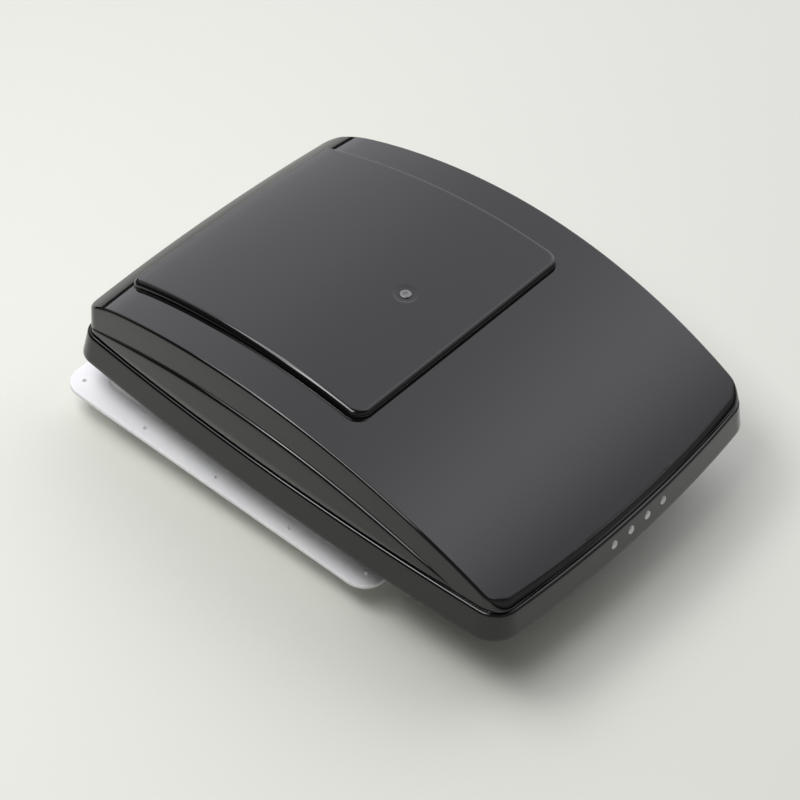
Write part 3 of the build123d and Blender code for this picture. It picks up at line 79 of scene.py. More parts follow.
def add_node(tree, kind, inputs=None, **settings):
    """Add a node with its settings. An input that is given a socket is linked to it."""
    made = tree.nodes.new(kind)
    for name, value in settings.items():
        setattr(made, name, value)
    for name, value in (inputs or {}).items():
        if isinstance(value, bpy.types.NodeSocket):
            tree.links.new(value, made.inputs[name])
        else:
            made.inputs[name].default_value = value
    return made


def colour(hex_code):
    """Linear colour of an sRGB hex value."""
    parts = [int(hex_code[at:at + 2], 16) / 255 for at in (0, 2, 4)]
    linear = [p / 12.92 if p <= 0.04045 else ((p + 0.055) / 1.055) ** 2.4 for p in parts]
    return (*linear, 1.0)


def bare_material(name):
    """A new material and its emptied node tree."""
    material = bpy.data.materials.new(name)
    material.use_nodes = True
    material.node_tree.nodes.clear()
    return material, material.node_tree


# The floor is a wide sheet of matt pale paper that the vent's neck stands on. It keeps the
# vent's soft shadow, and far out it fades into the pale backdrop that the camera sees.
floor_height = -0.034
floor_half = 6.0
fade_start, fade_end = 1.0, 3.0
backdrop = colour("E0E1D9")

floor_mesh = bpy.data.meshes.new("floor")
floor_mesh.from_pydata(
    [(x * floor_half, y * floor_half, floor_height) for x, y in ((-1, -1), (1, -1), (1, 1), (-1, 1))],
    [], [(0, 1, 2, 3)])
floor = bpy.data.objects.new("floor", floor_mesh)
bpy.context.scene.collection.objects.link(floor)
paper, tree = bare_material("matt_paper_floor")
lit_paper = add_node(tree, "ShaderNodeBsdfPrincipled",
                     {"Base Color": colour("DBDCD4"), "Roughness": 0.9, "Specular IOR Level": 0.1})
even_paper = add_node(tree, "ShaderNodeEmission", {"Color": backdrop})
place = add_node(tree, "ShaderNodeTexCoord")
away = add_node(tree, "ShaderNodeVectorMath", {0: place.outputs["Object"]}, operation="LENGTH")
far = add_node(tree, "ShaderNodeMapRange",
               {"Value": away.outputs["Value"], "From Min": fade_start, "From Max": fade_end},
               interpolation_type="SMOOTHSTEP")
ray = add_node(tree, "ShaderNodeLightPath")
share = add_node(tree, "ShaderNodeMath", {0: far.outputs["Result"], 1: ray.outputs["Is Camera Ray"]},
                 operation="MULTIPLY")
faded = add_node(tree, "ShaderNodeMixShader", {"Fac": share.outputs["Value"], 1: lit_paper.outputs["BSDF"],
                                               2: even_paper.outputs["Emission"]})
add_node(tree, "ShaderNodeOutputMaterial", {"Surface": faded.outputs["Shader"]})
floor_mesh.materials.append(paper)

# The room is dim, with walls whose level changes round the vent and a dark gap over the
# floor, because the gloss black mirrors it. The camera itself sees the pale backdrop.
# wall levels run from the vent's left (0) past its nose (0.25), right (0.5) and rear (0.75)
wall_levels = [(0.0, 0.34), (0.20, 0.34), (0.27, 0.42), (0.40, 0.42), (0.64, 0.54), (0.77, 0.54),
               (0.83, 0.05), (0.92, 0.05), (0.97, 0.18)]
ceiling_level = 0.12
ceiling_start, ceiling_end = 0.45, 0.75
gap_level = 0.04
gap_start, gap_end = 0.08, 0.35

world = bpy.data.worlds.new("room")
world.use_nodes = True
bpy.context.scene.world = world
room = world.node_tree
room.nodes.clear()
place = add_node(room, "ShaderNodeTexCoord")
split = add_node(room, "ShaderNodeSeparateXYZ", {"Vector": place.outputs["Generated"]})
bearing = add_node(room, "ShaderNodeMath", {0: split.outputs["Y"], 1: split.outputs["X"]},
                   operation="ARCTAN2")
around = add_node(room, "ShaderNodeMapRange",
                  {"Value": bearing.outputs["Value"], "From Min": -pi, "From Max": pi})
walls = add_node(room, "ShaderNodeValToRGB", {"Fac": around.outputs["Result"]})
ceiling = add_node(room, "ShaderNodeMapRange",
                   {"Value": split.outputs["Z"], "From Min": ceiling_start, "From Max": ceiling_end},
                   interpolation_type="SMOOTHSTEP")
gap = add_node(room, "ShaderNodeMapRange",
               {"Value": split.outputs["Z"], "From Min": gap_start, "From Max": gap_end, "To Min": gap_level})
low_walls = add_node(room, "ShaderNodeMath", {0: walls.outputs["Color"], 1: gap.outputs["Result"]},
                     operation="MULTIPLY")
level = add_node(room, "ShaderNodeMix",
                 {"Factor": ceiling.outputs["Result"], "A": low_walls.outputs["Value"], "B": ceiling_level})
glow = add_node(room, "ShaderNodeBackground",
                {"Color": colour("F4F4F0"), "Strength": level.outputs["Result"]})
pale = add_node(room, "ShaderNodeBackground", {"Color": backdrop})
ray = add_node(room, "ShaderNodeLightPath")
seen = add_node(room, "ShaderNodeMixShader", {"Fac": ray.outputs["Is Camera Ray"],
                                              1: glow.outputs["Background"], 2: pale.outputs["Background"]})
add_node(room, "ShaderNodeOutputWorld", {"Surface": seen.outputs["Shader"]})

# A very wide soft box behind the vent, brightest a little to its own left, is what the roof mirrors.
# Two smaller ones, high up behind and over the vent's left side, give the floor its level.
wide_place = Vector((1.75, 0.85, 1.85))
wide_aim = Vector((0.0, -0.05, 0.1))
wide_left, wide_right, wide_low, wide_high = -3.6, 2.7, -2.1, 2.3
wide_power = 2.05
wide_levels = [(0.0, 0.42), (0.17, 0.46), (0.29, 0.95), (0.38, 1.0), (0.49, 0.68), (0.63, 0.62),
               (0.73, 0.72), (1.0, 0.62)]

wide_mesh = bpy.data.meshes.new("wide_box")
wide_mesh.from_pydata([(wide_left, wide_low, 0), (wide_right, wide_low, 0), (wide_right, wide_high, 0),
                       (wide_left, wide_high, 0)], [], [(0, 3, 2, 1)])
wide_box = bpy.data.objects.new("wide_box", wide_mesh)
bpy.context.scene.collection.objects.link(wide_box)
facing = (wide_aim - wide_place).to_track_quat("-Z", "Y").to_matrix().to_4x4()
wide_box.matrix_world = Matrix.Translation(wide_place) @ facing
wide_box.visible_camera = False
cloth, tree = bare_material("lit_diffuser_cloth")
place = add_node(tree, "ShaderNodeTexCoord")
split = add_node(tree, "ShaderNodeSeparateXYZ", {"Vector": place.outputs["Object"]})
across = add_node(tree, "ShaderNodeMapRange",
                  {"Value": split.outputs["X"], "From Min": wide_left, "From Max": wide_right})
fall = add_node(tree, "ShaderNodeValToRGB", {"Fac": across.outputs["Result"]})
fall.color_ramp.interpolation = "B_SPLINE"
power = add_node(tree, "ShaderNodeMath", {0: fall.outputs["Color"], 1: wide_power}, operation="MULTIPLY")
lit = add_node(tree, "ShaderNodeEmission", {"Color": colour("F9F9FF"), "Strength": power.outputs["Value"]})
add_node(tree, "ShaderNodeOutputMaterial", {"Surface": lit.outputs["Emission"]})
wide_mesh.materials.append(cloth)

for ramp, levels in ((walls, wall_levels), (fall, wide_levels)):
    stops = ramp.color_ramp.elements
    while len(stops) < len(levels):
        stops.new(0.5)
    for stop, (spot, grey) in zip(stops, levels):
        stop.position = spot
        stop.color = (grey, grey, grey, 1.0)


def soft_box(name, place, aim, width, height, power):
    """A rectangular lamp at a place, turned to an aim."""
    lamp = bpy.data.lights.new(name, "AREA")
    lamp.shape = "RECTANGLE"
    lamp.size = width
    lamp.size_y = height
    lamp.energy = power
    box = bpy.data.objects.new(name, lamp)
    bpy.context.scene.collection.objects.link(box)
    box.location = place
    box.rotation_euler = (Vector(aim) - Vector(place)).to_track_quat("-Z", "Y").to_euler()


soft_box("key_box", (-0.5, 0.9, 1.8), (0.0, -0.05, 0.1), width=1.3, height=0.7, power=12.0)
soft_box("side_box", (-0.75, 0.10, 1.5), (-0.1, -0.15, 0.0), width=1.2, height=0.6, power=13.0)


# The base is one white ABS moulding: flange, turret, neck and shelf. The fan's orifice plate,
# the screen's frame and the cover's inner lid are moulded in the same ABS. A spark eroded
# tool leaves it satin. Its real grain of 0.05 mm is drawn coarser, as every grain below is.
def dress(material, *names):
    """Give CAD nodes their material."""
    for name in names:
        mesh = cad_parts[name].data
        mesh.materials.clear()
        mesh.materials.append(material)


def surface_material(name, sockets=None):
    """A new material with a shader, given its even values, and an output."""
    material, tree = bare_material(name)
    shader = add_node(tree, "ShaderNodeBsdfPrincipled", sockets)
    add_node(tree, "ShaderNodeOutputMaterial", {"Surface": shader.outputs["BSDF"]})
    return material, tree, shader


def grained(tree, shader, grains_per_mm, relief, roughness, depth=0.0001):
    """Fine relief, and a roughness that wanders in patches of about 70 mm. Gives both masks."""
    place = add_node(tree, "ShaderNodeTexCoord")
    grain = add_node(tree, "ShaderNodeTexNoise", {"Vector": place.outputs["Object"], "Detail": 3.0,
                                                  "Scale": 1000 * grains_per_mm, "Roughness": 0.55})
    raised = add_node(tree, "ShaderNodeBump",
                      {"Height": grain.outputs["Fac"], "Strength": relief, "Distance": depth})
    patches = add_node(tree, "ShaderNodeTexNoise",
                       {"Vector": place.outputs["Object"], "Scale": 14.0, "Detail": 4.0})
    gloss = add_node(tree, "ShaderNodeMapRange",
                     {"Value": patches.outputs["Fac"], "From Min": 0.35, "From Max": 0.65,
                      "To Min": roughness[0], "To Max": roughness[1]})
    tree.links.new(raised.outputs["Normal"], shader.inputs["Normal"])
    tree.links.new(gloss.outputs["Result"], shader.inputs["Roughness"])
    return {"grain": grain.outputs["Fac"], "patches": patches.outputs["Fac"]}


def two_tone(name, tones, span=(0.4, 0.6), follows="patches", sockets=None, **skin):
    """A grained material whose colour goes between two tones with its patches or its grain."""
    material, tree, shader = surface_material(name, sockets)
    mask = grained(tree, shader, **skin)[follows]
    share = add_node(tree, "ShaderNodeMapRange", {"Value": mask, "From Min": span[0], "From Max": span[1]})
    tint = add_node(tree, "ShaderNodeMix",
                    {"Factor": share.outputs["Result"], 6: colour(tones[0]), 7: colour(tones[1])},
                    data_type="RGBA")
    tree.links.new(tint.outputs[2], shader.inputs["Base Color"])
    return material


white_abs = two_tone("satin_white_abs_moulded", ("F0F0F2", "EBEBEE"), span=(0.35, 0.65),
                     grains_per_mm=1.4, relief=0.12, roughness=(0.36, 0.46), sockets={"IOR": 1.53})
dress(white_abs, "base_moulding", "orifice_plate", "screen_frame", "inner_lid")

# The gasket round the turret's top is extruded EPDM rubber, pushed on over the wall. It is
# matt and slightly grey with bloom.
epdm = two_tone("black_epdm_rubber_extruded", ("1B1B1B", "262625"),
                grains_per_mm=0.9, relief=0.25, depth=0.00015, roughness=(0.70, 0.82))
dress(epdm, "lid_gasket")

# The hinge bracket, the motor spider and the gearbox are moulded in glass filled nylon,
# whose surface is a little mottled by the fibres.
nylon = two_tone("black_glass_filled_nylon_moulded", ("19191A", "232325"), span=(0.45, 0.7), follows="grain",
                 grains_per_mm=0.7, relief=0.30, depth=0.00012, roughness=(0.42, 0.58))
dress(nylon, "hinge_bracket", "motor_spider", "gearbox_housing", "gearbox_cover")

# Screws, pins, the hinge leaf, the lift arms, both shafts and the worm are steel with bright
# zinc plate. The passivation leaves faint blue and straw tints on a fine drawn grain.
zinc = two_tone("zinc_plated_steel_drawn", ("B4B8BD", "BFBDB4"), span=(0.38, 0.62),
                grains_per_mm=0.6, relief=0.10, depth=0.00008, roughness=(0.24, 0.40),
                sockets={"Metallic": 1.0})
dress(zinc, "hinge_pin", "pin_clip", "hinge_leaf", "lift_shaft", "lift_arm_left", "lift_arm_right",
      "roll_pins", "worm", "motor_shaft", "bracket_screws", "plate_screws", "spider_screws", "motor_screws",
      "gearbox_screws", "foot_screws", "bearing_screws", "panel_screws", "lid_screws", "track_screws")

# The fan motor and the lift motor are deep drawn cans with a baked black coat, which is
# smooth and half glossy.
can_coat = two_tone("black_coated_motor_can_drawn", ("141416", "1D1D20"),
                    grains_per_mm=0.42, relief=0.10, roughness=(0.28, 0.40))
dress(can_coat, "fan_motor", "lift_motor")

# The ten bladed fan is one moulding in off-white polypropylene, waxy to the touch, with
# faint flow marks. Its nut and the worm wheel are turned and cut brass.
fan_plastic = two_tone("off_white_polypropylene_moulded", ("C9CBCD", "C1C4C6"), span=(0.35, 0.65),
                       grains_per_mm=0.26, relief=0.06, roughness=(0.38, 0.50), sockets={"IOR": 1.49})
dress(fan_plastic, "impeller")
brass = two_tone("cut_brass", ("B5914F", "A98545"), grains_per_mm=0.5, relief=0.15, roughness=(0.22, 0.36),
                 sockets={"Metallic": 1.0})
dress(brass, "worm_wheel", "impeller_nut")

# Bearings, tracks and glides are moulded in natural nylon, which runs dry. It is creamy and
# slightly see-through at its thin edges.
natural_nylon = two_tone("natural_nylon_moulded", ("D9D4C2", "D2CCB8"),
                         grains_per_mm=0.35, relief=0.08, roughness=(0.32, 0.44),
                         sockets={"Subsurface Weight": 0.15, "Subsurface Scale": 0.002})
dress(natural_nylon, "bearing_left", "bearing_right", "track_left", "track_right",
      "glide_left", "glide_right")

# The control panel under the shelf and the four quarter-turn knobs are grey polypropylene,
# and the five buttons a darker grey ABS, all moulded with a fine matt grain.
grey_shell = two_tone("light_grey_polypropylene_moulded", ("8F9193", "888A8C"),
                      grains_per_mm=1.2, relief=0.15, roughness=(0.40, 0.52))
dress(grey_shell, "control_panel", "screen_knob_1", "screen_knob_2", "screen_knob_3", "screen_knob_4")
button_grey = two_tone("dark_grey_abs_button_moulded", ("4B4D50", "45474A"),
                       grains_per_mm=1.5, relief=0.15, roughness=(0.34, 0.44))
dress(button_grey, "push_button_1", "push_button_2", "push_button_3", "push_button_4", "push_button_5")

# The panel covers a circuit board with a green solder mask. Copper runs about 1 mm wide, laid
# 11 and 3.5 mm apart, show through the mask as a lighter green.
board_green, tree, shader = surface_material("green_solder_mask_board")
grained(tree, shader, grains_per_mm=0.8, relief=0.05, depth=0.00005, roughness=(0.20, 0.30))
place = add_node(tree, "ShaderNodeTexCoord")
runs = add_node(tree, "ShaderNodeTexBrick",
                {"Vector": place.outputs["Object"], "Scale": 1.0, "Mortar Size": 0.0006,
                 "Brick Width": 0.011, "Row Height": 0.0035, "Color1": colour("1E5A34"),
                 "Color2": colour("1B5230"), "Mortar": colour("2F7A48")})
tree.links.new(runs.outputs["Color"], shader.inputs["Base Color"])
dress(board_green, "circuit_board")

# The insect screen is woven glass fibre yarn with a dark matt vinyl coat, stretched in its
# frame and cut back round the four knobs. The real pitch is 1.4 mm and the yarn 0.28 mm; the
# net here has 1.8 mm, the finest that a render still shows.
coated_yarn = two_tone("vinyl_coated_glass_fibre_net", ("2A2B2D", "333436"),
                       grains_per_mm=3.0, relief=0.2, roughness=(0.45, 0.60))


def plain_mesh(name, points, tree, values, body, runs=()):
    """Run a geometry tree on loose points and keep its result as a plain piece.

    A point's run, where it has one, is how far its copy of the form stretches each way.
    """
    seed = bpy.data.meshes.new(name + "_points")
    seed.from_pydata([tuple(p) for p in points], [], [])
    if runs:
        marks = seed.attributes.new("run", "FLOAT_VECTOR", "POINT")
        marks.data.foreach_set("vector", np.array(runs, dtype=np.float32).ravel())
    holder = bpy.data.objects.new(name + "_holder", seed)
    bpy.context.scene.collection.objects.link(holder)
    work = holder.modifiers.new("make", "NODES")
    work.node_group = tree
    for item in tree.interface.items_tree:
        if item.item_type == "SOCKET" and item.in_out == "INPUT" and item.name in values:
            work[item.identifier] = values[item.name]
    mesh = bpy.data.meshes.new_from_object(holder.evaluated_get(bpy.context.evaluated_depsgraph_get()))
    bpy.data.objects.remove(holder)
    piece = bpy.data.objects.new(name, mesh)
    bpy.context.scene.collection.objects.link(piece)
    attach(piece, body)
    return piece


def piece_tree(name, sizes):
    """An empty geometry tree with named inputs for its sizes, and its input and output nodes."""
    tree = bpy.data.node_groups.new(name, "GeometryNodeTree")
    tree.interface.new_socket("Geometry", in_out="INPUT", socket_type="NodeSocketGeometry")
    for size in sizes:
        tree.interface.new_socket(size, in_out="INPUT", socket_type="NodeSocketFloat")
    tree.interface.new_socket("Geometry", in_out="OUTPUT", socket_type="NodeSocketGeometry")
    return tree, tree.nodes.new("NodeGroupInput"), tree.nodes.new("NodeGroupOutput")


net_low, net_high = (Vector(corner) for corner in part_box("insect_screen"))
net_pitch = 0.0018
net_wire = 0.0003
knob_cut_side = 0.0215
knob_cut_front = 0.0135
tree, given, result = piece_tree("net_wires", ["Wire"])
run = add_node(tree, "GeometryNodeInputNamedAttribute", {"Name": "run"}, data_type="FLOAT_VECTOR")
size = add_node(tree, "ShaderNodeVectorMath", {0: run.outputs["Attribute"], 1: given.outputs["Wire"]},
                operation="MAXIMUM")
bar = add_node(tree, "GeometryNodeMeshCube")
wires = add_node(tree, "GeometryNodeInstanceOnPoints",
                 {"Points": given.outputs["Geometry"], "Instance": bar.outputs["Mesh"],
                  "Scale": size.outputs["Vector"]})
solid = add_node(tree, "GeometryNodeRealizeInstances", {"Geometry": wires.outputs["Instances"]})
coated = add_node(tree, "GeometryNodeSetMaterial", {"Geometry": solid.outputs["Geometry"],
                                                    "Material": coated_yarn})
tree.links.new(coated.outputs["Geometry"], result.inputs["Geometry"])

net_z = (net_low.z + net_high.z) / 2
net_half = (net_high.x - net_low.x) / 2
net_points, net_runs = [], []
for y in np.arange(net_low.y + net_pitch / 2, net_high.y, net_pitch):
    by_knob = y + net_wire / 2 < net_low.y + knob_cut_front or y > net_high.y - knob_cut_side
    net_points.append((0, y, net_z - net_wire / 2))
    net_runs.append((2 * (net_half - knob_cut_side * by_knob), 0, 0))
for x in np.arange(net_low.x + net_pitch / 2, net_high.x, net_pitch):
    by_knob = abs(x) > net_half - knob_cut_side
    start, end = net_low.y + knob_cut_front * by_knob, net_high.y - knob_cut_side * by_knob
    net_points.append((x, (start + end) / 2, net_z + net_wire / 2))
    net_runs.append((0, end - start, 0))
net = plain_mesh("insect_screen_net", net_points, tree, {"Wire": net_wire}, "base", net_runs)
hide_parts("insect_screen")


# The rain cover is one moulding in high gloss black ABS: a drafted rim, a groove, an arched
# roof with a steep rear end, a raised panel and a lens shaped swelling along each long side.
cover_width = 0.419
cover_nose_y = -0.3692
cover_rear_y = 0.2038
nose_narrowing = 0.0056
rear_narrowing = 0.0166
nose_bow = 0.013
rear_bow = 0.007
nose_corner_radius = 0.034
rear_corner_radius = 0.027
rim_bottom = 0.044
rim_top = 0.074
rim_top_inset = 0.0057
rim_lip_radius = 0.0008
rim_edge_radius = 0.0036
body_inset = 0.009
body_draft = 0.0015 / 0.0865
groove_height = 0.0024
groove_depth = 0.0015
groove_drop = 0.0017
roof_crest_y = -0.0487
roof_crest_z = 0.1555
roof_radius = 0.655
rear_bend_y = 0.135
rear_bend_radius = 0.150
rear_crown = 0.009
crown_start_y = 0.020
side_edge_radius = 0.0032
nose_edge_radius = 0.019
rear_edge_radius = 0.006
inner_edge_radius = 0.003
nose_reach = 0.0031
# how far a wall has turned to the nose or the rear where the change of its edge starts and ends
nose_turn_start, nose_turn_end = 0.35, 0.97
rear_turn_start, rear_turn_end = 0.10, 0.85
panel_rise = 0.008
panel_front_y = -0.145
panel_rear_y = 0.166
panel_half_width = 0.158
panel_rear_narrowing = 0.011
panel_bow = 0.0022
panel_front_radius = 0.020
panel_rear_radius = 0.013
panel_edge_radius = 0.0070
panel_foot_radius = 0.0003
panel_draft = 0.003 / 0.0945
dimple_y = -0.0667
dimple_radius = 0.012
dimple_depth = 0.0008
dimple_lip = 0.0015
dimple_slope = 0.0045
dimple_floor_radii = (0.0065, 0.0045, 0.0025)
swelling_front_y = -0.295
swelling_crest_y = -0.060
swelling_rear_y = 0.187
swelling_bottom = 0.0776
swelling_crest_z = 0.118
swelling_depth = 0.0028
swelling_shoulder = 0.009
side_facing = 0.9
lip_radius = 0.0004
soft_corner = 0.0003
inner_corner = 0.0004
hub_radius = 0.003
cover_wall = 0.0035
# rows up the swelling: share of its reach, of its depth outwards, metres up, share of its depth up
swell_section = [
    (0, 0, -0.0004, 0), (0, 0.1, 0, 0), (0, 0.5, 0.0001, 0.2), (0, 0.9, 0.0002, 0.4), (0, 1, 0.0003, 0.55),
    (0.25, 1, 0.0005, 0.2), (0.5, 1, 0.0007, 0), (0.75, 1, 0.0009, -0.3),
] + [
    (1, cos(pi / 2 * turn / 9), 0.001 + 0.0001 * turn, sin(pi / 2 * turn / 9) - 1) for turn in range(10)
] + [(1, 0, 0.0023, 0.03), (1, 0, 0.0027, 0.1)]
side_steps = 126
end_steps = 80
corner_steps = 26
inner_roof_rows, roof_rows, panel_rows = 22, 30, 26
even_share = 0.65


def eased(t):
    """A share from 0 to 1 that starts and ends gently."""
    return t * t * (3 - 2 * t)


def circle_through(a, b, c):
    """Centre and radius of the circle through three points in plan."""
    ax, ay = a[0] - c[0], a[1] - c[1]
    bx, by = b[0] - c[0], b[1] - c[1]
    cross = 2 * (ax * by - ay * bx)
    ux = (by * (ax * ax + ay * ay) - ay * (bx * bx + by * by)) / cross
    uy = (ax * (bx * bx + by * by) - bx * (ax * ax + ay * ay)) / cross
    return np.array((c[0] + ux, c[1] + uy)), hypot(ux, uy)


def corner_centre(first, second, radius, near):
    """Centre of a corner that rounds two bowed sides, nearest to a point."""
    (c1, r1), (c2, r2) = first, second
    d1, d2 = r1 - radius, r2 - radius
    gap = np.linalg.norm(c2 - c1)
    along = (gap * gap + d1 * d1 - d2 * d2) / (2 * gap)
    aside = np.sqrt(max(d1 * d1 - along * along, 0.0))
    axis = (c2 - c1) / gap
    middle = c1 + along * axis
    cross = np.array((-axis[1], axis[0]))
    choices = [middle + aside * cross, middle - aside * cross]
    return min(choices, key=lambda p: np.linalg.norm(p - near))


def bowed_loop(corners, middles, radii, steps):
    """Stations round a plan of bowed sides and round corners: their places and outward normals.

    The corners are nose right, rear right, rear left and nose left; the middles of the sides
    are those of the right, rear, left and nose side.
    """
    sides = [circle_through(corners[k], middles[k], corners[(k + 1) % 4]) for k in range(4)]
    centres = [corner_centre(sides[k - 1], sides[k], radii[k], np.array(corners[k])) for k in range(4)]
    places, normals = [], []
    for k in range(4):
        centre, radius = sides[k]
        start, end = centres[k], centres[(k + 1) % 4]
        a = atan2(*(start - centre)[::-1])
        b = atan2(*(end - centre)[::-1])
        b = a + (b - a + pi) % (2 * pi) - pi
        for t in np.linspace(0, 1, steps[k], endpoint=False):
            t = eased(t) * (1 - even_share) + t * even_share
            normal = np.array((cos(a + (b - a) * t), sin(a + (b - a) * t)))
            places.append(centre + radius * normal)
            normals.append(normal)
        after = sides[(k + 1) % 4][0]
        first = atan2(*(end - centre)[::-1])
        second = atan2(*(end - after)[::-1])
        second = first + (second - first + pi) % (2 * pi) - pi
        for t in np.linspace(0, 1, corner_steps, endpoint=False):
            angle = first + (second - first) * t
            normal = np.array((cos(angle), sin(angle)))
            places.append(end + radii[(k + 1) % 4] * normal)
            normals.append(normal)
    return np.array(places), np.array(normals)


half_cover = cover_width / 2
nose_x = half_cover - nose_narrowing
rear_x = half_cover - rear_narrowing
nose_end_y = cover_nose_y + nose_bow
rear_end_y = cover_rear_y - rear_bow
middle_y = (cover_nose_y + cover_rear_y) / 2
loop_steps = (side_steps, end_steps, side_steps, end_steps)
cover_places, cover_normals = bowed_loop(
    [(nose_x, nose_end_y), (rear_x, rear_end_y), (-rear_x, rear_end_y), (-nose_x, nose_end_y)],
    [(half_cover, middle_y), (0, cover_rear_y), (-half_cover, middle_y), (0, cover_nose_y)],
    [nose_corner_radius, rear_corner_radius, rear_corner_radius, nose_corner_radius],
    loop_steps)
panel_rear_x = panel_half_width - panel_rear_narrowing
panel_middle_x = (panel_half_width + panel_rear_x) / 2 + panel_bow
panel_middle_y = (panel_front_y + panel_rear_y) / 2
faint_bow = 0.0004
panel_places, panel_normals = bowed_loop(
    [(panel_half_width, panel_front_y), (panel_rear_x, panel_rear_y),
     (-panel_rear_x, panel_rear_y), (-panel_half_width, panel_front_y)],
    [(panel_middle_x, panel_middle_y), (0, panel_rear_y + faint_bow),
     (-panel_middle_x, panel_middle_y), (0, panel_front_y - faint_bow)],
    [panel_front_radius, panel_rear_radius, panel_rear_radius, panel_front_radius],
    loop_steps)


def roof_height(x, y, lift=0.0):
    """Height of the arched roof, whose tighter bend at the rear bows out in the middle."""
    t = np.clip((y - crown_start_y) / (rear_bend_y - crown_start_y), 0, 1)
    y = y - rear_crown * eased(t) * (1 - (x / half_cover) ** 2)
    centre_z = roof_crest_z - roof_radius
    bend = np.arcsin((rear_bend_y - roof_crest_y) / roof_radius)
    shift = roof_radius - rear_bend_radius
    main = np.sqrt(np.maximum((roof_radius + lift) ** 2 - (y - roof_crest_y) ** 2, 0))
    across = y - roof_crest_y - shift * np.sin(bend)
    rear = np.sqrt(np.maximum((rear_bend_radius + lift) ** 2 - across**2, 1e-9))
    knee = roof_crest_y + (roof_radius + lift) * np.sin(bend)
    return np.where(y < knee, centre_z + main, centre_z + shift * np.cos(bend) + rear)


def round_edge(places, normals, wall_inset, wall_draft, wall_foot_z, radius, lift):
    """Rounding between a drafted wall and the roof: its centre and its turns, for each station."""
    slope_step = 1e-5
    passes = 12
    inset = wall_inset + radius
    wall_turn = np.arctan(wall_draft)
    for _ in range(passes):
        x, y = (places - normals * inset[:, None]).T
        z = roof_height(x, y, lift)
        ahead = roof_height(x - normals[:, 0] * slope_step, y - normals[:, 1] * slope_step, lift)
        slope = (ahead - z) / slope_step
        foot_z = z + slope * (wall_inset - inset - wall_draft * wall_foot_z)
        corner_z = foot_z / (1 - slope * wall_draft)
        corner = wall_inset + wall_draft * (corner_z - wall_foot_z)
        turn = pi / 2 - wall_turn - np.arctan(slope)
        run = radius * np.tan(turn / 2)
        inset = corner + run * np.cos(np.arctan(slope))
    low_z = corner_z - run * cos(wall_turn)
    centre_inset = corner - run * sin(wall_turn) + radius * cos(wall_turn)
    centre_z = low_z - radius * sin(wall_turn)
    return {"centre_inset": centre_inset, "centre_z": centre_z, "low_z": low_z,
            "low_turn": np.full(len(places), wall_turn), "high_turn": wall_turn + turn}


def edge_rows(edge, radius, start_turn, steps):
    """Insets and heights of the rows round an edge, from a first turn up to the roof."""
    found = []
    for t in np.linspace(0, 1, steps):
        turn = start_turn + (edge["high_turn"] - start_turn) * t
        found.append((edge["centre_inset"] - radius * np.cos(turn),
                      edge["centre_z"] + radius * np.sin(turn)))
    return found


def cover_row(inset, height):
    """A row of the cover's outline, at an inset and a height for each station."""
    plan = cover_places - cover_normals * np.asarray(inset)[:, None]
    return np.column_stack((plan, height))


def flat_row(inset, height):
    """A level row of the cover's outline."""
    return cover_row(every * inset, every * height)


def corner_rows(inset, height, radius, start, turn, steps):
    """Rows round a small corner of the section, about a centre at one inset and height."""
    angles = start + turn * np.linspace(0, 1, steps)
    return [flat_row(inset - radius * cos(angle), height + radius * sin(angle)) for angle in angles]


def swelling_reach():
    """For each station of the cover: how far the swelling's top edge is above its bottom edge."""
    centre, radius = circle_through((swelling_front_y, swelling_bottom), (swelling_crest_y, swelling_crest_z),
                                    (swelling_rear_y, swelling_bottom))
    body_y = cover_places[:, 1] - cover_normals[:, 1] * body_inset
    inside = np.maximum(radius**2 - (body_y - centre[0]) ** 2, 0)
    reach = centre[1] + np.sqrt(inside) - swelling_bottom
    on_side = (body_y > swelling_front_y) & (body_y < swelling_rear_y)
    on_side &= np.abs(cover_normals[:, 0]) > side_facing
    return np.where(on_side, np.maximum(reach, 0), 0)


def blend_rows(first, last, count, height):
    """Rows from one loop to another, closer together at both ends, with heights from a rule."""
    rows = []
    for t in np.linspace(0, 1, count + 2)[1:-1]:
        t = eased(t)
        plan = first[:, :2] * (1 - t) + last[:, :2] * t
        rows.append(np.column_stack((plan, height(*plan.T))))
    return rows


def skin_over(rows):
    """Points and faces of a closed skin over rows that are each a closed loop."""
    count = len(rows[0])
    points = np.concatenate(rows)
    index = np.arange(len(rows) * count).reshape(len(rows), count)
    low, high = index[:-1], index[1:]
    quads = np.stack((low, np.roll(low, -1, 1), np.roll(high, -1, 1), high), axis=-1).reshape(-1, 4)
    faces = [tuple(quad) for quad in quads.tolist()]
    for ring in (index[0], index[-1]):
        hub = len(points)
        points = np.vstack((points, points[ring].mean(axis=0)))
        faces += [(a, b, hub) for a, b in zip(ring.tolist(), np.roll(ring, -1).tolist())]
    return points, faces


def finished(name, points, faces, material, body):
    """A smooth piece from points and faces, with its faces turned outwards, riding on its body."""
    mesh = bpy.data.meshes.new(name)
    mesh.from_pydata([tuple(p) for p in points], [], faces)
    work = bmesh.new()
    work.from_mesh(mesh)
    bmesh.ops.remove_doubles(work, verts=work.verts, dist=1e-6)
    bmesh.ops.recalc_face_normals(work, faces=work.faces)
    work.to_mesh(mesh)
    work.free()
    for face in mesh.polygons:
        face.use_smooth = True
    mesh.materials.append(material)
    piece = bpy.data.objects.new(name, mesh)
    bpy.context.scene.collection.objects.link(piece)
    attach(piece, body)
    return piece


